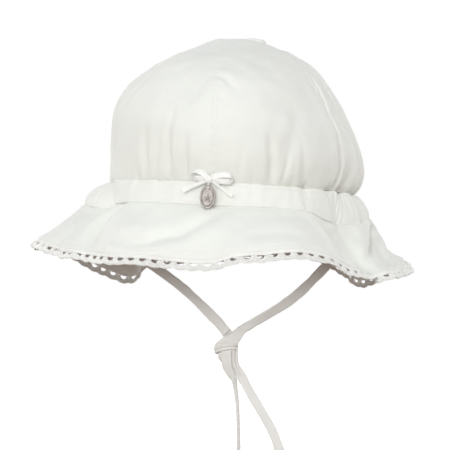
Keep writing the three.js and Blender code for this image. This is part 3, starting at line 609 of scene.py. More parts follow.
def band_cloth(azimuth, share):
    """Places and normals of the band's outer face: a casing between two stitched seams."""
    azimuth, share, point, normal = laid_on(band_point, azimuth, share)
    height = BAND_HEIGHT - seam_level(azimuth)
    above = share * height
    below = (1 - share) * height
    relief = CASING_PUFF * np.power(np.clip(np.sin(np.pi * share), 0, 1), 0.6)
    for away in (above, below):
        relief -= CASING_PUFF * np.exp(-away / CASING_EDGE)
        relief -= CASING_DIMPLE * bell((away - TOPSTITCH_AWAY) / STITCH_DIMPLE_WIDTH)
    relief += puckers(azimuth, above, 41, 130, 0.4 * MM, 0.3)
    relief += puckers(azimuth, below, 31, 150, 0.5 * MM, 0.7)
    relief += 0.7 * ear_gathers(azimuth + 5 * (1 - share), 0 * above)
    relief += rolling(point, BAND_ROLLING)
    return point + relief[..., None] * normal, normal


def brim_cloth(azimuth, share):
    """Places and normals of the brim's outer face."""
    azimuth, share, point, normal = laid_on(brim_point, azimuth, share)
    from_seam = share * BRIM_LENGTH
    from_hem = (1 - share) * BRIM_LENGTH
    relief = rolling(point, BRIM_ROLLING) * np.clip(from_seam / (8 * MM), 0, 1) + rolling(point, BRIM_RIPPLES)
    relief += relief_of(BRIM_CREASES, brim_point, point)
    relief += puckers(azimuth, from_seam, 41, 130, 0.35 * MM, 0.35)
    relief += puckers(azimuth, from_hem, 53, 150, 0.13 * MM, 1.0)
    relief -= SEAM_SINK * np.exp(-from_seam / SEAM_GROOVE_WIDTH)
    past_fold = from_hem - HEM_STITCH_LINES[1] - HEM_FOLD_PAST_STITCHES
    relief += HEM_FOLD_LIFT / (1 + np.exp(past_fold / HEM_FOLD_STEP))
    for line in HEM_STITCH_LINES:
        relief -= HEM_DIMPLE * bell((from_hem - line) / HEM_DIMPLE_WIDTH)
    relief -= HEM_ROUNDING * np.exp(-from_hem / HEM_DIMPLE_WIDTH)
    return point + relief[..., None] * normal, normal


# Meshes

def new_piece(name, mesh, material, replaced=None, woven=True):
    """An object from points, faces and places in the weave, riding on the hat and standing in for a solid."""
    points, faces, weave = mesh
    data = bpy.data.meshes.new(name)
    data.from_pydata(np.asarray(points).reshape(-1, 3).tolist(), [], [list(map(int, face)) for face in faces])
    data.shade_smooth()
    data.set_sharp_from_angle(angle=math.radians(SHARP_ANGLE))
    if woven:
        layer = data.attributes.new("weave", "FLOAT_VECTOR", "POINT")
        layer.data.foreach_set("vector", np.asarray(weave, np.float32).ravel())
    data.materials.append(material)
    data.validate()
    piece = add_object(name, data)
    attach(piece, "root")
    if replaced:
        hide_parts(replaced)
    return piece


def lengths_along(points):
    """Length from a line's first point to each of its points."""
    return np.concatenate([[0], np.cumsum(np.linalg.norm(np.diff(points, axis=0), axis=1))])


def values_at(place, places, rows):
    """Rows of three columns, read between the places that they belong to."""
    return np.stack([np.interp(place, places, rows[:, k]) for k in range(3)], axis=-1)


def tangents(paths, closed=False):
    """Unit directions along paths, whose points lie on the last axis but one."""
    if closed:
        return unit(np.roll(paths, -1, axis=-2) - np.roll(paths, 1, axis=-2))
    return unit(np.gradient(paths, axis=-2))


def square_to(tangent, direction):
    """The part of a direction that is square to a tangent, as a unit vector."""
    return unit(direction - tangent * np.sum(direction * tangent, axis=-1, keepdims=True))


def tube_faces(rows, sides, closed=False):
    """Faces between rings of points, with a cap at each end unless the last ring joins the first."""
    i = np.arange(sides)
    nxt = (i + 1) % sides
    faces = []
    for j in range(rows if closed else rows - 1):
        a = j * sides
        b = (j + 1) % rows * sides
        faces += np.stack([a + i, a + nxt, b + nxt, b + i], axis=-1).tolist()
    if not closed:
        faces.append(i[::-1].tolist())
        faces.append(((rows - 1) * sides + i).tolist())
    return faces


def weave_of(grid):
    """Lengths along the cloth's two ways, in metres, for each point of a grid."""
    across = np.zeros(grid.shape[:2])
    along = np.zeros(grid.shape[:2])
    across[:, 1:] = np.cumsum(np.linalg.norm(np.diff(grid, axis=1), axis=-1), axis=1)
    along[1:] = np.cumsum(np.linalg.norm(np.diff(grid, axis=0), axis=-1), axis=0)
    across -= across[:, -1:] / 2
    return np.stack([across, along, np.zeros_like(along)], axis=-1)


def shell(outer, normal, thickness, ring, flipped):
    """A sheet of cloth with two faces and closed edges, from its outer face."""
    rows, cols = outer.shape[:2]
    inner = outer - normal * thickness
    points = np.concatenate([outer.reshape(-1, 3), inner.reshape(-1, 3)])
    back = rows * cols
    spans = cols if ring else cols - 1
    i = np.arange(spans)
    nxt = (i + 1) % cols
    j = np.arange(rows - 1)[:, None]
    quads = np.stack([j * cols + i, j * cols + nxt, (j + 1) * cols + nxt, (j + 1) * cols + i], axis=-1)
    outer_faces = quads.reshape(-1, 4)
    inner_faces = outer_faces[:, ::-1] + back
    last = (rows - 1) * cols
    low = np.stack([back + i, back + nxt, nxt, i], axis=-1)
    high = np.stack([last + i, last + nxt, back + last + nxt, back + last + i], axis=-1)
    faces = [outer_faces, inner_faces, low, high]
    if not ring:
        r = np.arange(rows - 1)
        start = r * cols
        end = r * cols + cols - 1
        faces.append(np.stack([start, start + cols, back + start + cols, back + start], axis=-1))
        faces.append(np.stack([back + end, back + end + cols, end + cols, end], axis=-1))
    faces = np.concatenate(faces)
    if flipped:
        faces = faces[:, ::-1]
    weave = np.tile(weave_of(outer).reshape(-1, 3), (2, 1))
    return points, faces, weave


def eased(count, low_rows, high_rows, low_zone, high_zone):
    """Shares from 0 to 1 with closer rows near both ends."""
    low = np.linspace(0, low_zone, low_rows, endpoint=False)
    middle = np.linspace(low_zone, 1 - high_zone, count - low_rows - high_rows, endpoint=False)
    high = np.linspace(1 - high_zone, 1, high_rows)
    return np.concatenate([low, middle, high])


def with_tuck(outer, normal, lift):
    """Cloth with one more row at its start, which turns in behind the neighbouring piece."""
    tucked = outer[0] - normal[0] * TUCK_DEPTH
    tucked[:, 2] += lift
    return np.concatenate([tucked[None], outer]), np.concatenate([normal[:1], normal])


def sweep(path, across, width, thickness, sides=12, closed=False, square=0.55):
    """A strap of rounded section along a path, with across as its width's direction at each point."""
    path = np.asarray(path, float)
    count = len(path)
    tangent = tangents(path, closed)
    across = square_to(tangent, np.broadcast_to(np.asarray(across, float), path.shape))
    outward = np.cross(tangent, across)
    turn = 2 * np.pi * np.arange(sides) / sides
    half_width = np.broadcast_to(width, (count,))[:, None] / 2
    half_thickness = np.broadcast_to(thickness, (count,))[:, None] / 2
    u = np.sign(np.cos(turn)) * np.abs(np.cos(turn)) ** square * half_width
    v = np.sign(np.sin(turn)) * np.abs(np.sin(turn)) ** 0.8 * half_thickness
    points = path[:, None] + across[:, None] * u[..., None] + outward[:, None] * v[..., None]
    length = np.broadcast_to(lengths_along(path)[:, None], u.shape)
    weave = np.stack([u, length, np.zeros_like(u)], axis=-1)
    return points.reshape(-1, 3), tube_faces(count, sides, closed), weave.reshape(-1, 3)


def merged(parts):
    """Several meshes as one."""
    points, faces, weaves = [], [], []
    done = 0
    for part_points, part_faces, part_weave in parts:
        points.append(part_points)
        weaves.append(part_weave)
        faces += [[v + done for v in face] for face in part_faces]
        done += len(part_points)
    return np.concatenate(points), faces, np.concatenate(weaves)


def tubes(paths, reference, radius, sides, closed):
    """Many threads at once: paths is threads by points by three, and reference is a direction across each."""
    tangent = tangents(paths, closed)
    one = square_to(tangent, reference)
    two = np.cross(tangent, one)
    turn = 2 * np.pi * np.arange(sides) / sides
    threads, count = paths.shape[:2]
    radius = np.broadcast_to(radius, (threads, count))[..., None, None]
    points = (paths[:, :, None] + one[:, :, None] * np.cos(turn)[:, None] * radius
              + two[:, :, None] * np.sin(turn)[:, None] * radius).reshape(-1, 3)
    size = count * sides
    rows = tube_faces(count, sides, closed)
    faces = [[v + first for v in face] for first in range(0, threads * size, size) for face in rows]
    return points, faces, points


def stitch_run(points, normals):
    """A line of stitches along points on the cloth, each a short thread that dips at both ends."""
    length = lengths_along(points)
    count = max(1, int(length[-1] / STITCH_PITCH))
    middle = (np.arange(count) + 0.5) * length[-1] / count
    at = middle[:, None] + np.array([-0.5, -0.36, 0, 0.36, 0.5]) * STITCH_LENGTH
    lift = np.array([-0.12, 0.06, 0.12, 0.06, -0.12]) * MM
    out = unit(values_at(at, length, normals))
    paths = values_at(at, length, points) + out * lift[:, None]
    return tubes(paths, out, np.array([0.45, 0.9, 1, 0.9, 0.45]) * STITCH_RADIUS, 5, False)


# Materials

def new_material(name, colour, roughness, sheen=0.0, metallic=0.0):
    material = bpy.data.materials.new(name)
    material.use_nodes = True
    nodes = material.node_tree.nodes
    shader = nodes["Principled BSDF"]
    shader.inputs["Base Color"].default_value = (*colour, 1)
    shader.inputs["Roughness"].default_value = roughness
    shader.inputs["Metallic"].default_value = metallic
    shader.inputs["Sheen Weight"].default_value = sheen
    shader.inputs["Sheen Roughness"].default_value = 0.4
    return material, nodes, material.node_tree.links, shader


def noise(nodes, links, vector, scale, detail=2.0):
    texture = nodes.new("ShaderNodeTexNoise")
    texture.inputs["Scale"].default_value = scale
    texture.inputs["Detail"].default_value = detail
    links.new(vector, texture.inputs["Vector"])
    return texture.outputs["Fac"]


def between(nodes, links, factor, low, high):
    """A value, or a colour, between two as the factor goes from 0 to 1."""
    ramp = nodes.new("ShaderNodeMapRange") if isinstance(low, float) else nodes.new("ShaderNodeValToRGB")
    if isinstance(low, float):
        ramp.inputs["To Min"].default_value = low
        ramp.inputs["To Max"].default_value = high
        links.new(factor, ramp.inputs["Value"])
        return ramp.outputs["Result"]
    ramp.color_ramp.elements[0].position = 0.3
    ramp.color_ramp.elements[1].position = 0.7
    ramp.color_ramp.elements[0].color = (*low, 1)
    ramp.color_ramp.elements[1].color = (*high, 1)
    links.new(factor, ramp.inputs["Fac"])
    return ramp.outputs["Color"]


def band_wave(nodes, links, vector, direction, scale, distortion):
    wave = nodes.new("ShaderNodeTexWave")
    wave.bands_direction = direction
    wave.inputs["Scale"].default_value = scale
    wave.inputs["Distortion"].default_value = distortion
    wave.inputs["Detail"].default_value = 1.0
    links.new(vector, wave.inputs["Vector"])
    return wave.outputs["Fac"]


def bump(nodes, links, shader, heights):
    """A stack of bumps: for each, its height from 0 to 1 and its depth in metres."""
    normal = None
    for height, depth in heights:
        node = nodes.new("ShaderNodeBump")
        node.inputs["Distance"].default_value = depth
        node.inputs["Strength"].default_value = 1.0
        links.new(height, node.inputs["Height"])
        if normal is not None:
            links.new(normal, node.inputs["Normal"])
        normal = node.outputs["Normal"]
    links.new(normal, shader.inputs["Normal"])


def weave_place(nodes):
    """Place in the cloth, in metres along its two ways."""
    cloth = nodes.new("ShaderNodeAttribute")
    cloth.attribute_name = "weave"
    return cloth.outputs["Vector"]


# A wave texture of scale s has s * 20 / (2 pi) bands to the metre
WAVES_PER_SCALE = 20 / (2 * math.pi)


def woven_material(name, light, dark, thread, roughness, sheen, depth):
    """Plain weave of threads a given distance apart, with slubs, fuzz and slightly uneven colour."""
    material, nodes, links, shader = new_material(name, light, roughness, sheen)
    cloth = weave_place(nodes)
    place = nodes.new("ShaderNodeTexCoord").outputs["Object"]
    scale = 1 / (thread * WAVES_PER_SCALE)
    warp = band_wave(nodes, links, cloth, "X", scale, 0.6)
    weft = band_wave(nodes, links, cloth, "Y", scale, 0.6)
    weave = nodes.new("ShaderNodeMath")
    weave.operation = "MULTIPLY"
    links.new(warp, weave.inputs[0])
    links.new(weft, weave.inputs[1])
    slub = noise(nodes, links, place, 900, 3.0)
    tint = noise(nodes, links, place, 45, 3.0)
    links.new(between(nodes, links, tint, dark, light), shader.inputs["Base Color"])
    rough = noise(nodes, links, place, 160)
    links.new(between(nodes, links, rough, roughness - 0.06, roughness + 0.06), shader.inputs["Roughness"])
    bump(nodes, links, shader, [(slub, depth * 0.8), (weave.outputs["Value"], depth)])
    return material


def thread_material(name, light, dark, twist, depth):
    """Cotton thread: fine twisted fibres."""
    material, nodes, links, shader = new_material(name, light, 0.85, 0.35)
    place = nodes.new("ShaderNodeTexCoord").outputs["Object"]
    fibre = noise(nodes, links, place, 1 / twist, 3.0)
    tint = noise(nodes, links, place, 60)
    links.new(between(nodes, links, tint, dark, light), shader.inputs["Base Color"])
    bump(nodes, links, shader, [(fibre, depth)])
    return material


SATIN_DARK = (0.88, 0.885, 0.86)
SATIN_LIGHT = (0.92, 0.925, 0.9)
SATIN_THREAD = 0.16 * MM
METAL_DARK = (0.3, 0.27, 0.255)
METAL_LIGHT = (0.5, 0.455, 0.43)


def satin_material():
    """Satin ribbon: a soft sheen across fine threads."""
    material, nodes, links, shader = new_material("satin_ribbon", SATIN_LIGHT, 0.32, 0.2)
    shader.inputs["Anisotropic"].default_value = 0.4
    threads = band_wave(nodes, links, weave_place(nodes), "X", 1 / (SATIN_THREAD * WAVES_PER_SCALE), 0.4)
    place = nodes.new("ShaderNodeTexCoord").outputs["Object"]
    cloudy = noise(nodes, links, place, 300)
    links.new(between(nodes, links, cloudy, 0.26, 0.4), shader.inputs["Roughness"])
    links.new(between(nodes, links, cloudy, SATIN_DARK, SATIN_LIGHT), shader.inputs["Base Color"])
    bump(nodes, links, shader, [(threads, 0.02 * MM)])
    return material


def metal_material():
    """Cast silver-coloured metal, its tone and roughness varying at random over it."""
    material, nodes, links, shader = new_material("cast_metal", METAL_LIGHT, 0.6, 0.0, 0.85)
    place = nodes.new("ShaderNodeTexCoord").outputs["Object"]
    grain = noise(nodes, links, place, 1500, 4.0)
    stain = noise(nodes, links, place, 420, 3.0)
    links.new(between(nodes, links, stain, METAL_DARK, METAL_LIGHT), shader.inputs["Base Color"])
    links.new(between(nodes, links, grain, 0.5, 0.72), shader.inputs["Roughness"])
    bump(nodes, links, shader, [(grain, 0.03 * MM)])
    return material


COTTON_LIGHT = (0.86, 0.872, 0.832)
COTTON_DARK = (0.835, 0.847, 0.807)
cotton = woven_material("cotton_cloth", COTTON_LIGHT, COTTON_DARK, 0.42 * MM, 0.88, 0.25, 0.045 * MM)
tape = woven_material("cotton_tape", (0.86, 0.855, 0.83), (0.81, 0.80, 0.78), 0.36 * MM, 0.88, 0.25, 0.04 * MM)
lace_thread = thread_material("lace_thread", (0.88, 0.88, 0.86), (0.83, 0.83, 0.81), 0.35 * MM, 0.05 * MM)
sewing_thread = thread_material("sewing_thread", (0.88, 0.88, 0.87), (0.84, 0.84, 0.83), 0.2 * MM, 0.03 * MM)
satin = satin_material()
metal = metal_material()


# Crown, band and brim

ROUND_AZIMUTHS = np.arange(ROUND_STEPS) * 360 / ROUND_STEPS - 180


def crown_panel(name, start_turn, end_turn, steps):
    """A panel between two seams, with close columns along both."""
    share = eased(CROWN_ROWS, 22, 10, 0.1, 0.05)
    part = np.linspace(0, 1, steps + 1)
    edge = np.degrees(PANEL_EDGE / HEAD_HALF_WIDTH)
    start, end = (np.broadcast_to(seam_azimuth(turn, share), share.shape) for turn in (start_turn, end_turn))
    azimuth = start[:, None] + (end - start)[:, None] * part
    first, last = azimuth[:, :1], azimuth[:, -1:]
    azimuth = np.concatenate([first, first + edge, azimuth[:, 1:-1], last - edge, last], axis=1)
    outer, normal = with_tuck(*crown_cloth(azimuth, share[:, None]), -TUCK_LIFT)
    mesh = shell(outer, normal, CLOTH_THICKNESS, False, False)
    return new_piece(name + "_cloth", mesh, cotton, name)


def make_crown():
    front_steps = round((EAR_SEAM_AZIMUTH / 360) * ROUND_STEPS)
    back_steps = ROUND_STEPS // 2 - front_steps
    return [
        crown_panel("crown_front_right", 0, EAR_SEAM_AZIMUTH, front_steps),
        crown_panel("crown_front_left", -EAR_SEAM_AZIMUTH, 0, front_steps),
        crown_panel("crown_back_right", EAR_SEAM_AZIMUTH, 180, back_steps),
        crown_panel("crown_back_left", 180, 360 - EAR_SEAM_AZIMUTH, back_steps),
    ]


def make_band():
    share = eased(30, 8, 8, 0.16, 0.16)
    outer, normal = band_cloth(ROUND_AZIMUTHS, share[:, None])
    mesh = shell(outer, normal, CLOTH_THICKNESS, True, False)
    return new_piece("band_cloth", mesh, cotton, "band")


def make_brim():
    share = eased(50, 7, 22, 0.08, 0.17)
    outer, normal = with_tuck(*brim_cloth(ROUND_AZIMUTHS, share[:, None]), TUCK_LIFT)
    mesh = shell(outer, normal, CLOTH_THICKNESS, True, True)
    return new_piece("brim_cloth", mesh, cotton, "brim")


def make_stitches():
    """Topstitching beside the front and back seams, along both edges of the band and twice along the hem."""
    crown_runs = []
    share = np.linspace(0.03, 0.93, 260)
    for turn in (0, 180):
        centre = np.broadcast_to(seam_azimuth(turn, share), share.shape)
        radius = np.linalg.norm(crown_point(centre, share)[:, :2], axis=1)
        for side in (-1, 1):
            offset = np.degrees(TOPSTITCH_AWAY / np.maximum(radius, 8 * MM)) * side
            crown_runs.append(stitch_run(*crown_cloth(centre + offset, share)))
    azimuth = np.linspace(-180, 180, STITCH_SAMPLES)
    edge = TOPSTITCH_AWAY / (BAND_HEIGHT - seam_level(azimuth))
    band_runs = [stitch_run(*band_cloth(azimuth, share)) for share in (edge, 1 - edge)]
    hem_runs = [stitch_run(*brim_cloth(azimuth, 1 - line / BRIM_LENGTH)) for line in HEM_STITCH_LINES]
    rows = (("crown_stitches", crown_runs), ("band_stitches", band_runs), ("hem_stitches", hem_runs))
    return [new_piece(name, merged(runs), sewing_thread, woven=False) for name, runs in rows]


# The button from its underside to its top, as shares of its radius and its height
BUTTON_PROFILE = [(0.86, 0.0), (0.97, 0.12), (1.0, 0.3), (0.98, 0.5), (0.92, 0.68), (0.8, 0.82), (0.62, 0.91),
                  (0.42, 0.965), (0.2, 0.99), (0.03, 1.0)]
BUTTON_SIDES = 96
BUTTON_GATHER = 0.22 * MM
BUTTON_DIMPLE = 0.16 * MM


def make_button():
    """Button covered with cloth that gathers towards its underside."""
    low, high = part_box("crown_button")
    centre = (low + high) / 2
    radius = (high.x - low.x) / 2
    share, rise = np.array(BUTTON_PROFILE).T[..., None]
    turn = np.arange(BUTTON_SIDES) * 2 * np.pi / BUTTON_SIDES
    gather = BUTTON_GATHER * np.sin(21 * turn + 0.4 * np.sin(5 * turn)) * (1 - rise) ** 1.5
    reach = share * radius + gather
    dimple = BUTTON_DIMPLE * np.sin(3 * turn + 0.8) * share
    level = low.z + rise * (high.z - low.z) + dimple * rise
    points = np.stack([centre.x + reach * np.cos(turn), centre.y + reach * np.sin(turn), level], axis=-1)
    points = points.reshape(-1, 3)
    mesh = (points, tube_faces(len(BUTTON_PROFILE), BUTTON_SIDES), points)
    new_piece("crown_button_cloth", mesh, cotton, "crown_button")


# Lace: a straight heading sewn under the hem, then bars and arcs of close wraps round half-moon holes

HEADING_DROPS = (-0.6 * MM, 0.05 * MM, 0.7 * MM, 1.35 * MM)
HOLE_TOP = 1.85 * MM
HOLE_HEIGHT = 1.8 * MM
HOLE_HALF_SHARE = 0.34
ARC_EDGE = 4.95 * MM
ARC_SWELL = 0.85 * MM
WRAPS = 11
WRAP_SAMPLES = 8
WRAP_THREAD = 0.29 * MM
FILLING_THREAD = 0.3 * MM
FILLING_DEPTHS = (0.12, 0.37, 0.63, 0.88)
HEADING_THREAD = 0.4 * MM
LACE_HALF_DEPTH = 0.42 * MM


def hem_line():
    """Points, downward directions and outward normals evenly along the hem, and the number of scallops."""
    azimuth = np.linspace(-180, 180, HEM_SAMPLES)
    length = lengths_along(brim_point(azimuth, 1.0))
    count = round(length[-1] / SCALLOP_PITCH)
    point, normal = brim_cloth(azimuth, 1.0)
    above, _ = brim_cloth(azimuth, 0.96)
    down = unit(point - above)
    return length / length[-1] * count, point, down, normal, count


def hole_edge(share):
    """Drop of the holes' lower edge. Between two holes it is the level of the heading's lower edge."""
    away = np.clip(np.abs(share - 0.5) / HOLE_HALF_SHARE, 0, 1)
    return HOLE_TOP + HOLE_HEIGHT * np.sqrt(1 - away ** 2)


def lace_edge(share):
    return ARC_EDGE + ARC_SWELL * np.sin(np.pi * np.clip(share, 0, 1)) ** 0.8


def make_lace():
    place, hem, down, normal, count = hem_line()

    def frame_at(s):
        point, below, outward = (values_at(s % count, place, rows) for rows in (hem, down, normal))
        return point, unit(below), unit(outward)

    def lay(s, drop, out):
        point, below, outward = frame_at(s)
        return point + below * drop[..., None] + outward * (out - LACE_INSET)[..., None]

    def along(s):
        return unit(frame_at(s + 0.02)[0] - frame_at(s - 0.02)[0])

    parts = []
    scallop = np.arange(count)[:, None, None]
    turn = np.arange(WRAP_SAMPLES) * 2 * np.pi / WRAP_SAMPLES
    share = ((np.arange(WRAPS) + 0.5) / WRAPS)[None, :, None]
    half = (lace_edge(share) - hole_edge(share)) / 2
    middle = (lace_edge(share) + hole_edge(share)) / 2
    lean = 0.75 * (share - 0.5) * np.clip(1 - np.abs(share - 0.5) * 1.6, 0, 1) * 2
    s = scallop + share + (lean * half * np.cos(turn) + 0.2 * MM * np.sin(turn)) / SCALLOP_PITCH
    drop = middle + half * np.cos(turn) * (1 + 0.05 * np.cos(7 * scallop + 40 * share))
    out = LACE_HALF_DEPTH * np.sin(turn)
    s, drop, out = np.broadcast_arrays(s, drop, out)
    paths = lay(s, drop, out).reshape(-1, WRAP_SAMPLES, 3)
    parts.append(tubes(paths, along(s).reshape(-1, WRAP_SAMPLES, 3), WRAP_THREAD, 5, True))

    share = np.linspace(0, 1, 15)
    for depth in FILLING_DEPTHS:
        drop = hole_edge(share) + depth * (lace_edge(share) - hole_edge(share))
        s, drop = np.broadcast_arrays(np.arange(count)[:, None] + share, drop)
        parts.append(tubes(lay(s, drop, np.zeros_like(s)), frame_at(s)[2], FILLING_THREAD, 5, False))

    s = (np.arange(count * 8) / 8)[None, :]
    for number, level in enumerate(HEADING_DROPS):
        drop = level + 0.06 * MM * np.sin(2 * np.pi * s * 4 + number)
        radius = HEADING_THREAD * (1 + 0.14 * np.cos(2 * np.pi * s * 4 + 2 * number))
        parts.append(tubes(lay(s, drop, np.zeros_like(s)), frame_at(s)[2], radius, 6, True))
    return new_piece("lace_trim_threads", merged(parts), lace_thread, "lace_trim", woven=False)


# Bow, charm and what holds them

def smooth_path(points, steps, closed=False):
    """Even samples of a smooth curve through a few points."""
    points = np.asarray(points, float)
    if closed:
        wrapped = np.concatenate([points[-2:], points, points[:3]])
        knots = np.arange(-2, len(points) + 3)
        t = np.linspace(0, len(points), steps, endpoint=False)
    else:
        wrapped = np.concatenate([[2 * points[0] - points[1]], points, [2 * points[-1] - points[-2]]])
        knots = np.arange(-1, len(points) + 1)
        t = np.linspace(0, len(points) - 1, steps)
    at = np.clip(np.floor(t).astype(int), 0, len(points) - (1 if closed else 2)) - knots[0]
    f = (t - (at + knots[0]))[:, None]
    p0, p1, p2, p3 = wrapped[at - 1], wrapped[at], wrapped[at + 1], wrapped[at + 2]
    return 0.5 * (2 * p1 + (p2 - p0) * f + (2 * p0 - 5 * p1 + 4 * p2 - p3) * f ** 2
                  + (3 * p1 - p0 - 3 * p2 + p3) * f ** 3)


# The bow in millimetres. A loop has its side and rows of x, z, the ribbon's lean in degrees and how far it
# stands forward. A tail has rows of x, how far it stands forward and z, then its flare in degrees and the
# breadth of its end as a share of the ribbon's width.
BOW_LOOPS = [
    (1, [(0.4, 0.5, 66, 0.9), (3, 1.9, 70, 1.0), (6.4, 2.6, 72, 1.0), (9.4, 2.6, 62, 0.9),
         (11.2, 1.7, 20, 0.6), (11.7, 0.4, -30, 0.5), (10, -0.6, -66, 0.7), (6.8, -0.6, -72, 0.9),
         (3.4, -0.5, -66, 0.9), (0.4, -0.3, -60, 0.8)]),
    (-1, [(0.4, 0.5, 66, 0.9), (2.6, 2.5, 64, 1.0), (5, 3.8, 58, 1.1), (7.4, 3.9, 34, 1.0), (9, 2.3, 4, 0.9),
          (8, 0.5, -40, 0.8), (5, 0.2, -66, 0.9), (2.6, 0.1, -66, 0.9), (0.4, -0.2, -60, 0.8)]),
]
BOW_TAILS = [
    ([(0, 0.5, -0.4), (-3.6, 0.9, -1.7), (-7.6, 0.7, -3.4), (-10.8, 0.4, -4.8), (-13.3, 0.7, -5.9)], 24, 0.85),
    ([(0, 0.5, -0.4), (3.4, 0.7, -2.1), (6.8, 0.2, -4.3), (9.8, -0.2, -6.2), (12.2, 0.1, -7.7)], -34, 0.6),
]
BOW_LOOP_STEPS = 44
BOW_TAIL_STEPS = 26
BOW_WRAP_STEPS = 28


def make_bow():
    """Ribbon bow sewn to the band's upper edge: two loops, two tails and the wrap round its middle."""
    wall = band_cloth(math.degrees(ORNAMENT_X / HEAD_HALF_LENGTH), 0.0)[0]
    centre = np.array([ORNAMENT_X, wall[1] - BOW_STAND_OFF, BAND_HEIGHT + BOW_RISE])
    parts = []
    for direction, rows in BOW_LOOPS:
        x, z, lean, forward = smooth_path(rows, BOW_LOOP_STEPS).T
        path = centre + np.stack([direction * x, -forward, z], axis=-1) * MM
        lean = np.radians(lean)
        across = np.stack([np.zeros_like(lean), -np.cos(lean), -np.sin(lean)], axis=-1)
        parts.append(sweep(path, across, RIBBON_WIDTH, RIBBON_THICKNESS, square=RIBBON_SQUARE))
    for rows, flare, breadth in BOW_TAILS:
        path = smooth_path([(x * MM, -y * MM, z * MM) for x, y, z in rows], BOW_TAIL_STEPS) + centre
        roll = np.radians(np.linspace(flare, 0, BOW_TAIL_STEPS))[:, None]
        across = unit(np.cross(tangents(path), FRONT)) * np.cos(roll) + FRONT * np.sin(roll)
        width = RIBBON_WIDTH * np.linspace(0.5, breadth, BOW_TAIL_STEPS)
        parts.append(sweep(path, across, width, RIBBON_THICKNESS, square=RIBBON_SQUARE))
    turn = np.linspace(0, 2 * np.pi, BOW_WRAP_STEPS, endpoint=False)
    path = centre + np.stack([0.15 * MM * np.sin(2 * turn), -(0.6 * MM + 1.35 * MM * np.cos(turn)),
                              1.75 * MM * np.sin(turn)], axis=-1)
    parts.append(sweep(path, np.array([1.0, 0, 0.12]), 2.7 * MM, 0.5 * MM, 14, closed=True, square=0.5))
    new_piece("satin_bow", merged(parts), satin, "bow")


def ball(centre, radii, rings=6, sides=10):
    """A round bead or petal as rings of points, with its radii along three directions."""
    lat = np.linspace(-np.pi / 2, np.pi / 2, rings + 1)[1:-1]
    turn = np.arange(sides) * 2 * np.pi / sides
    a, b, c = radii
    body = [centre + a * np.cos(p) * np.cos(t) + b * np.cos(p) * np.sin(t) + c * np.sin(p)
            for p in lat for t in turn]
    points = [centre - c, *body, centre + c]
    faces = []
    for n in range(sides):
        m = (n + 1) % sides
        faces.append([0, 1 + m, 1 + n])
        faces.append([len(points) - 1, len(points) - 1 - sides + n, len(points) - 1 - sides + m])
        for j in range(rings - 2):
            a0 = 1 + j * sides
            faces.append([a0 + n, a0 + m, a0 + sides + m, a0 + sides + n])
    return np.array(points), faces, np.array(points)


# The charm's plate from its middle to its rim and back, as shares of its half size and depths in millimetres
CHARM_RINGS = [(0.04, 0.72), (0.3, 0.78), (0.55, 0.86), (0.7, 0.96), (0.76, 1.06), (0.8, 1.42), (0.86, 1.6),
               (0.93, 1.56), (0.985, 1.3), (1.0, 0.9), (0.99, 0.3), (0.95, 0.1), (0.5, 0.05), (0.04, 0.05)]
CHARM_SIDES = 96
BEAD_COUNT = 38
BEAD_RADIUS = 0.26 * MM
PETAL_COUNT = 5
PETAL_LENGTH = 1.35 * MM
FLOWER_CENTRE_RADIUS = 0.5 * MM
CHARM_EYE_RADIUS = 0.72 * MM
CHARM_EYE_WIRE = 0.22 * MM


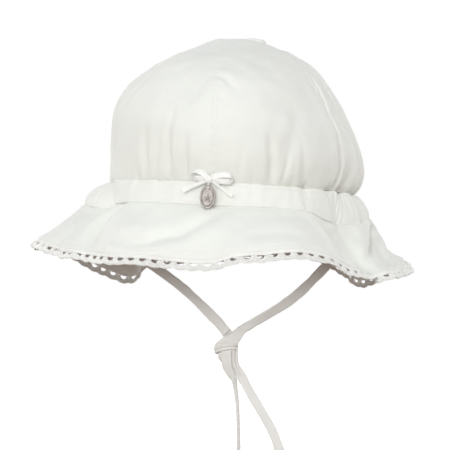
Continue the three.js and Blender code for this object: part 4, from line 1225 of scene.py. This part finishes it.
def make_charm():
    """Oval cast charm, a dished plate with a beaded rim, an eye and a flower, and the thread that holds it."""
    low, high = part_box("charm")
    centre = np.array([(low.x + high.x) / 2, high.y, (low.z + high.z) / 2])
    half_width = (high.x - low.x) / 2
    half_height = (high.z - low.z) / 2
    axes = np.array([RIGHT, UP, FRONT])
    turn = (np.arange(CHARM_SIDES) * 2 * np.pi / CHARM_SIDES)[:, None]
    plate = np.concatenate([
        centre + RIGHT * share * half_width * np.cos(turn) + UP * share * half_height * np.sin(turn)
        + FRONT * depth * MM for share, depth in CHARM_RINGS])
    parts = [(plate, tube_faces(len(CHARM_RINGS), CHARM_SIDES), plate)]
    for n in range(BEAD_COUNT):
        angle = 2 * np.pi * n / BEAD_COUNT
        at = (centre + RIGHT * 0.71 * half_width * np.cos(angle) + UP * 0.75 * half_height * np.sin(angle)
              + FRONT * 1.05 * MM)
        parts.append(ball(at, axes * BEAD_RADIUS, 4, 7))
    flower = centre - UP * half_height * 0.1 + FRONT * 0.86 * MM
    for n in range(PETAL_COUNT):
        angle = math.pi / 2 + 2 * math.pi * n / PETAL_COUNT
        outward = RIGHT * math.cos(angle) + UP * math.sin(angle)
        aside = UP * math.cos(angle) - RIGHT * math.sin(angle)
        radii = (outward * PETAL_LENGTH * 0.62, aside * PETAL_LENGTH * 0.42, FRONT * 0.34 * MM)
        parts.append(ball(flower + outward * PETAL_LENGTH * 0.98, radii, 6, 12))
    parts.append(ball(flower, axes * FLOWER_CENTRE_RADIUS, 6, 12))
    eye = centre + UP * half_height * 0.62 + FRONT * 0.98 * MM
    turn = np.linspace(0, 2 * np.pi, 20, endpoint=False)[:, None]
    path = eye + (RIGHT * np.cos(turn) + UP * np.sin(turn)) * CHARM_EYE_RADIUS
    parts.append(tubes(path[None], FRONT, CHARM_EYE_WIRE, 6, True))
    new_piece("oval_charm", merged(parts), metal, "charm", woven=False)
    thread = []
    for side in (-0.25, 0.2):
        route = smooth_path([
            eye + RIGHT * side * MM - UP * 0.45 * MM - FRONT * 0.2 * MM,
            eye + RIGHT * side * MM + FRONT * 0.75 * MM,
            eye + RIGHT * side * 1.4 * MM + UP * 1.5 * MM + FRONT * 0.3 * MM,
            eye + RIGHT * side * 0.8 * MM + UP * 3.4 * MM - FRONT * 1.4 * MM,
        ], 16)
        thread.append(tubes(route[None], RIGHT, 0.2 * MM, 6, False))
    new_piece("charm_thread", merged(thread), sewing_thread, woven=False)


# Chin ties

def centripetal(points, steps):
    """The same curve through a strap's points that its solid follows, with an even step of its share."""
    points = np.asarray(points, float)
    last = len(points) - 1
    wrapped = np.concatenate([[2 * points[0] - points[1]], points, [2 * points[-1] - points[-2]]])
    made = []
    for share in np.linspace(0, 1, steps + 1):
        at = min(int(share * last), last - 1)
        f = share * last - at
        p0, p1, p2, p3 = wrapped[at:at + 4]
        gaps = [max(np.linalg.norm(b - a), 1e-9) ** 0.5 for a, b in ((p0, p1), (p1, p2), (p2, p3))]
        slope1 = ((p1 - p0) / gaps[0] - (p2 - p0) / (gaps[0] + gaps[1]) + (p2 - p1) / gaps[1]) * gaps[1]
        slope2 = ((p2 - p1) / gaps[1] - (p3 - p1) / (gaps[1] + gaps[2]) + (p3 - p2) / gaps[2]) * gaps[1]
        made.append(hermite(p1, p2, slope1, slope2, 1, f))
    return np.array(made)


def sewn_top(azimuth):
    """Two points of a tie against the inside of the band."""
    spread = np.degrees(TIE_WIDTH / 2 / HEAD_HALF_WIDTH)
    side = math.sin(math.radians(azimuth))
    ahead = math.cos(math.radians(azimuth))
    low = float(seam_level(np.array(float(azimuth))))
    levels = (TIE_TUCK, TIE_TUCK_END)
    reaches = []
    for level in levels:
        share = (level - low) / (BAND_HEIGHT - low)
        points = band_point(azimuth + np.linspace(-spread, spread, 9), share)
        reaches.append(float(np.min(side * points[:, 0] - ahead * points[:, 1])))
    slope = (reaches[1] - reaches[0]) / (levels[0] - levels[1])
    inset = (CLOTH_THICKNESS / 2 + TIE_SEAT + TIE_THICKNESS / 2) * math.hypot(1, slope)
    return [(side * (reach - inset), -ahead * (reach - inset), level, azimuth)
            for reach, level in zip(reaches, levels)]


def strap_piece(node, route, seed):
    """A flat tie of folded cloth with stitched edges. Gives the tie, its stitches and its path."""
    path = centripetal([row[:3] for row in route], TIE_STEPS)
    facing = np.array([row[3] for row in route], float)
    facing = np.radians(section_value(facing, np.linspace(0, 1, TIE_STEPS + 1)))
    tangent = tangents(path)
    normal = square_to(tangent, np.stack([np.sin(facing), -np.cos(facing), np.zeros_like(facing)], axis=-1))
    across = np.cross(tangent, normal)
    wobble = waves(path, seed, 14 * MM, 40 * MM, 8)
    across = unit(across + normal * 0.12 * wobble[:, None])
    width = TIE_WIDTH * (1 + 0.05 * waves(path, seed + 1, 8 * MM, 20 * MM, 6))
    points, faces, weave = sweep(path, across, width, TIE_THICKNESS, TIE_SIDES, square=0.5)
    outward = unit(points - np.repeat(path, TIE_SIDES, axis=0))
    points = points + 0.05 * MM * outward * waves(points, seed + 2, 2 * MM, 6 * MM)[:, None]
    name = node + "_strap"
    piece = new_piece(name, (points, faces, weave), tape, node)
    runs = []
    for side in (-1, 1):
        line = path + across * (side * (width / 2 - TIE_STITCH_INSET))[:, None]
        for face in (1, -1):
            runs.append(stitch_run(line + normal * face * TIE_THICKNESS * 0.47, normal * face))
    seam = new_piece(name + "_stitches", merged(runs), sewing_thread, woven=False)
    return piece, seam, path


# Depth of the knot's middle, in millimetres like the rows of its strands
KNOT_DEPTH = -14.0
STRAND_SIDES = 18

# The two wraps in millimetres: level, reach to the side, reach in depth, width, lean and arch
KNOT_WRAPS = [(-72.9, 5.5, 3.5, 2.5, 1.5, 0.9), (-74.7, 5.0, 3.3, 2.1, 1.1, 0.8)]


def make_knot():
    """The two ties crossed and wrapped once round each other, with the drop that hangs out of the wrap."""
    parts = []

    def strand(rows, width, thickness, steps=40, closed=False, square=0.5):
        """A strap through rows of x, depth and z, with its widths and thicknesses spread evenly along it."""
        path = smooth_path([(x * MM, (KNOT_DEPTH + deep) * MM, z * MM) for x, deep, z in rows], steps, closed)
        tangent = tangents(path, closed)
        outward = square_to(tangent, unit(path - path.mean(axis=0)) if closed else FRONT)
        across = np.cross(tangent, outward)
        place = np.linspace(0, 1, steps)
        width = np.interp(place, np.linspace(0, 1, len(width)), width) * MM
        thickness = np.interp(place, np.linspace(0, 1, len(thickness)), thickness) * MM
        points, faces, weave = sweep(path, across, width, thickness, STRAND_SIDES, closed, square)
        rumple = 0.09 * MM * waves(points, 77, 2.5 * MM, 6 * MM)[:, None]
        parts.append((points + rumple * np.repeat(outward, STRAND_SIDES, axis=0), faces, weave))

    strand([(-4.6, -0.2, -60.2), (-0.6, 0.1, -64.4), (2.4, 0.8, -68.6), (4.4, 1.2, -73.0)],
           [4.7, 5.4, 6, 5.4], [0.7, 1.3, 1.4])
    strand([(12.8, 0.7, -60.4), (8.0, 0.1, -63.8), (5.0, -1.6, -67.7), (1.8, -2.9, -70.4),
            (-1.6, -2.6, -72.1), (-4.0, -0.8, -73.6), (-4.4, 1.6, -74.0)],
           [3.8, 5.2, 6.8, 7.4, 6, 4.4, 3.4], [0.7, 1.3, 1.5, 1.5], 48)
    for level, reach, deep, width, lean, arch in KNOT_WRAPS:
        turn = np.linspace(0, 2 * np.pi, 12, endpoint=False)
        rows = [(0.4 + reach * math.cos(t), deep * math.sin(t),
                 level + lean * math.cos(t) - arch * math.sin(t)) for t in turn]
        strand(rows, [width], [1.9], 48, True, 0.75)
    strand([(1.2, -0.6, -72.0), (1.1, -2.6, -75.2), (1.3, -3.0, -79.0), (1.9, -2.6, -83.0),
            (3.6, -1.4, -86.6), (4.9, -0.2, -89.4), (5.6, 0, -91.0)],
           [5.2, 5.6, 5.6, 5.2, 4.2, 2.8, 1.6], [1.5, 1.5, 1.2, 1.0], 52)
    strand([(4.0, 0.9, -72.5), (4.4, 0.6, -76.5), (4.9, 0.6, -80.5), (6.3, 0.6, -84.0),
            (8.9, 0.3, -87.4), (12.0, 0, -92.0)],
           [5.2, 5.0, 4.8, 5.0, 5.4, 4.8], [1.3, 1.3, 1.3, 1.1, 0.7], 48)
    strand([(4.5, -1.4, -74.0), (4.5, -1.4, -77.5), (4.9, -1.3, -81.0), (6.3, -0.9, -84.6),
            (8.9, -0.4, -88.0)],
           [1.7, 1.8, 1.7, 1.8, 1.2], [0.9, 0.8], 36)
    strand([(-0.8, -0.4, -74.6), (-2.0, -1.2, -76.8), (-2.2, -1.0, -78.6), (-0.8, -0.2, -80.4)],
           [2.6, 2.8, 2.6, 2.2], [1.6], 24)
    return new_piece("tie_knot_wraps", merged(parts), tape, "tie_knot")


def make_ties():
    """The knot, the two ties that go into it and the two ends that hang out of it."""
    knot = make_knot()
    for node, route, seed, far_end, others in (
            ("tie_left", sewn_top(-TIE_AZIMUTH) + TIE_LEFT_ROUTE, 61, "knot", [knot]),
            ("tie_right", sewn_top(TIE_AZIMUTH) + TIE_RIGHT_ROUTE, 64, "knot", [knot]),
            ("tie_tail_left", TAIL_LEFT_ROUTE, 67, "bare", []),
            ("tie_tail_right", TAIL_RIGHT_ROUTE, 70, "bare", [])):
        strap, seam, path = strap_piece(node, route, seed)


# Floor, light and background

def make_floor():
    mesh = bpy.data.meshes.new("studio_floor")
    half = FLOOR_SIDE / 2
    corners = [(x * half, y * half, FLOOR_LEVEL) for x, y in ((-1, -1), (1, -1), (1, 1), (-1, 1))]
    mesh.from_pydata(corners, [], [[0, 1, 2, 3]])
    material, _, _, shader = new_material("studio_floor", (0.9, 0.9, 0.9), 0.9)
    shader.inputs["Emission Color"].default_value = (1, 1, 1, 1)
    shader.inputs["Emission Strength"].default_value = 0.7
    mesh.materials.append(material)
    floor = add_object("studio_floor", mesh)
    floor.visible_diffuse = False


# Lamps: each one's place and power
LAMPS = {
    "key": ((-0.03, -1.33, 0.22), 7.1),
    "right_rim": ((0.72, 1.0, 0.04), 4.0),
    "left_rim": ((-1.0, 0.5, 0.08), 1.8),
}
LAMP_SIZE = 0.6
LAMP_COLOUR = (0.97, 1.0, 0.99)


def make_lamps():
    for name, (place, power) in LAMPS.items():
        data = bpy.data.lights.new(name, "AREA")
        data.shape = "DISK"
        data.size = LAMP_SIZE
        data.energy = power
        data.color = LAMP_COLOUR
        lamp = add_object(name, data)
        lamp.location = place
        lamp.rotation_euler = (-Vector(place)).to_track_quat("-Z", "Y").to_euler()


# Light from around the hat by the height that it comes from, as -1 below and 1 above: a bright low ring, dimmer
# above it and dim and warm below it
SKY = [
    (-1.0, (0.06, 0.03, 0.014)),
    (-0.2, (0.2, 0.15, 0.122)),
    (0.0, (0.97, 0.955, 0.945)),
    (0.12, (0.94, 0.935, 0.935)),
    (0.4, (0.7, 0.7, 0.7)),
    (0.66, (0.36, 0.36, 0.37)),
]
SKY_STRENGTH = 1.36


def make_world():
    """White behind the hat for the camera, and soft light from all around for the hat."""
    world = bpy.data.worlds.new("studio")
    world.use_nodes = True
    bpy.context.scene.world = world
    nodes = world.node_tree.nodes
    links = world.node_tree.links
    seen = nodes["Background"]
    seen.inputs["Color"].default_value = (1, 1, 1, 1)
    seen.inputs["Strength"].default_value = 1.0
    around = nodes.new("ShaderNodeBackground")
    around.inputs["Strength"].default_value = SKY_STRENGTH
    place = nodes.new("ShaderNodeTexCoord")
    split = nodes.new("ShaderNodeSeparateXYZ")
    links.new(place.outputs["Generated"], split.inputs["Vector"])
    level = nodes.new("ShaderNodeMapRange")
    level.inputs["From Min"].default_value = -1
    links.new(split.outputs["Z"], level.inputs["Value"])
    ramp = nodes.new("ShaderNodeValToRGB")
    links.new(level.outputs["Result"], ramp.inputs["Fac"])
    stops = ramp.color_ramp.elements
    while len(stops) < len(SKY):
        stops.new(0.5)
    for stop, (height, colour) in zip(stops, SKY):
        stop.position = (height + 1) / 2
        stop.color = (*colour, 1)
    links.new(ramp.outputs["Color"], around.inputs["Color"])
    rays = nodes.new("ShaderNodeLightPath")
    mix = nodes.new("ShaderNodeMixShader")
    links.new(rays.outputs["Is Camera Ray"], mix.inputs["Fac"])
    links.new(around.outputs["Background"], mix.inputs[1])
    links.new(seen.outputs["Background"], mix.inputs[2])
    links.new(mix.outputs["Shader"], nodes["World Output"].inputs["Surface"])


make_camera()
make_ties()
crown = make_crown()
band = make_band()
brim = make_brim()
_, band_stitches, hem_stitches = make_stitches()
make_button()
lace = make_lace()
make_bow()
make_charm()
make_floor()
make_world()
make_lamps()
bpy.context.scene.view_settings.view_transform = "Standard"
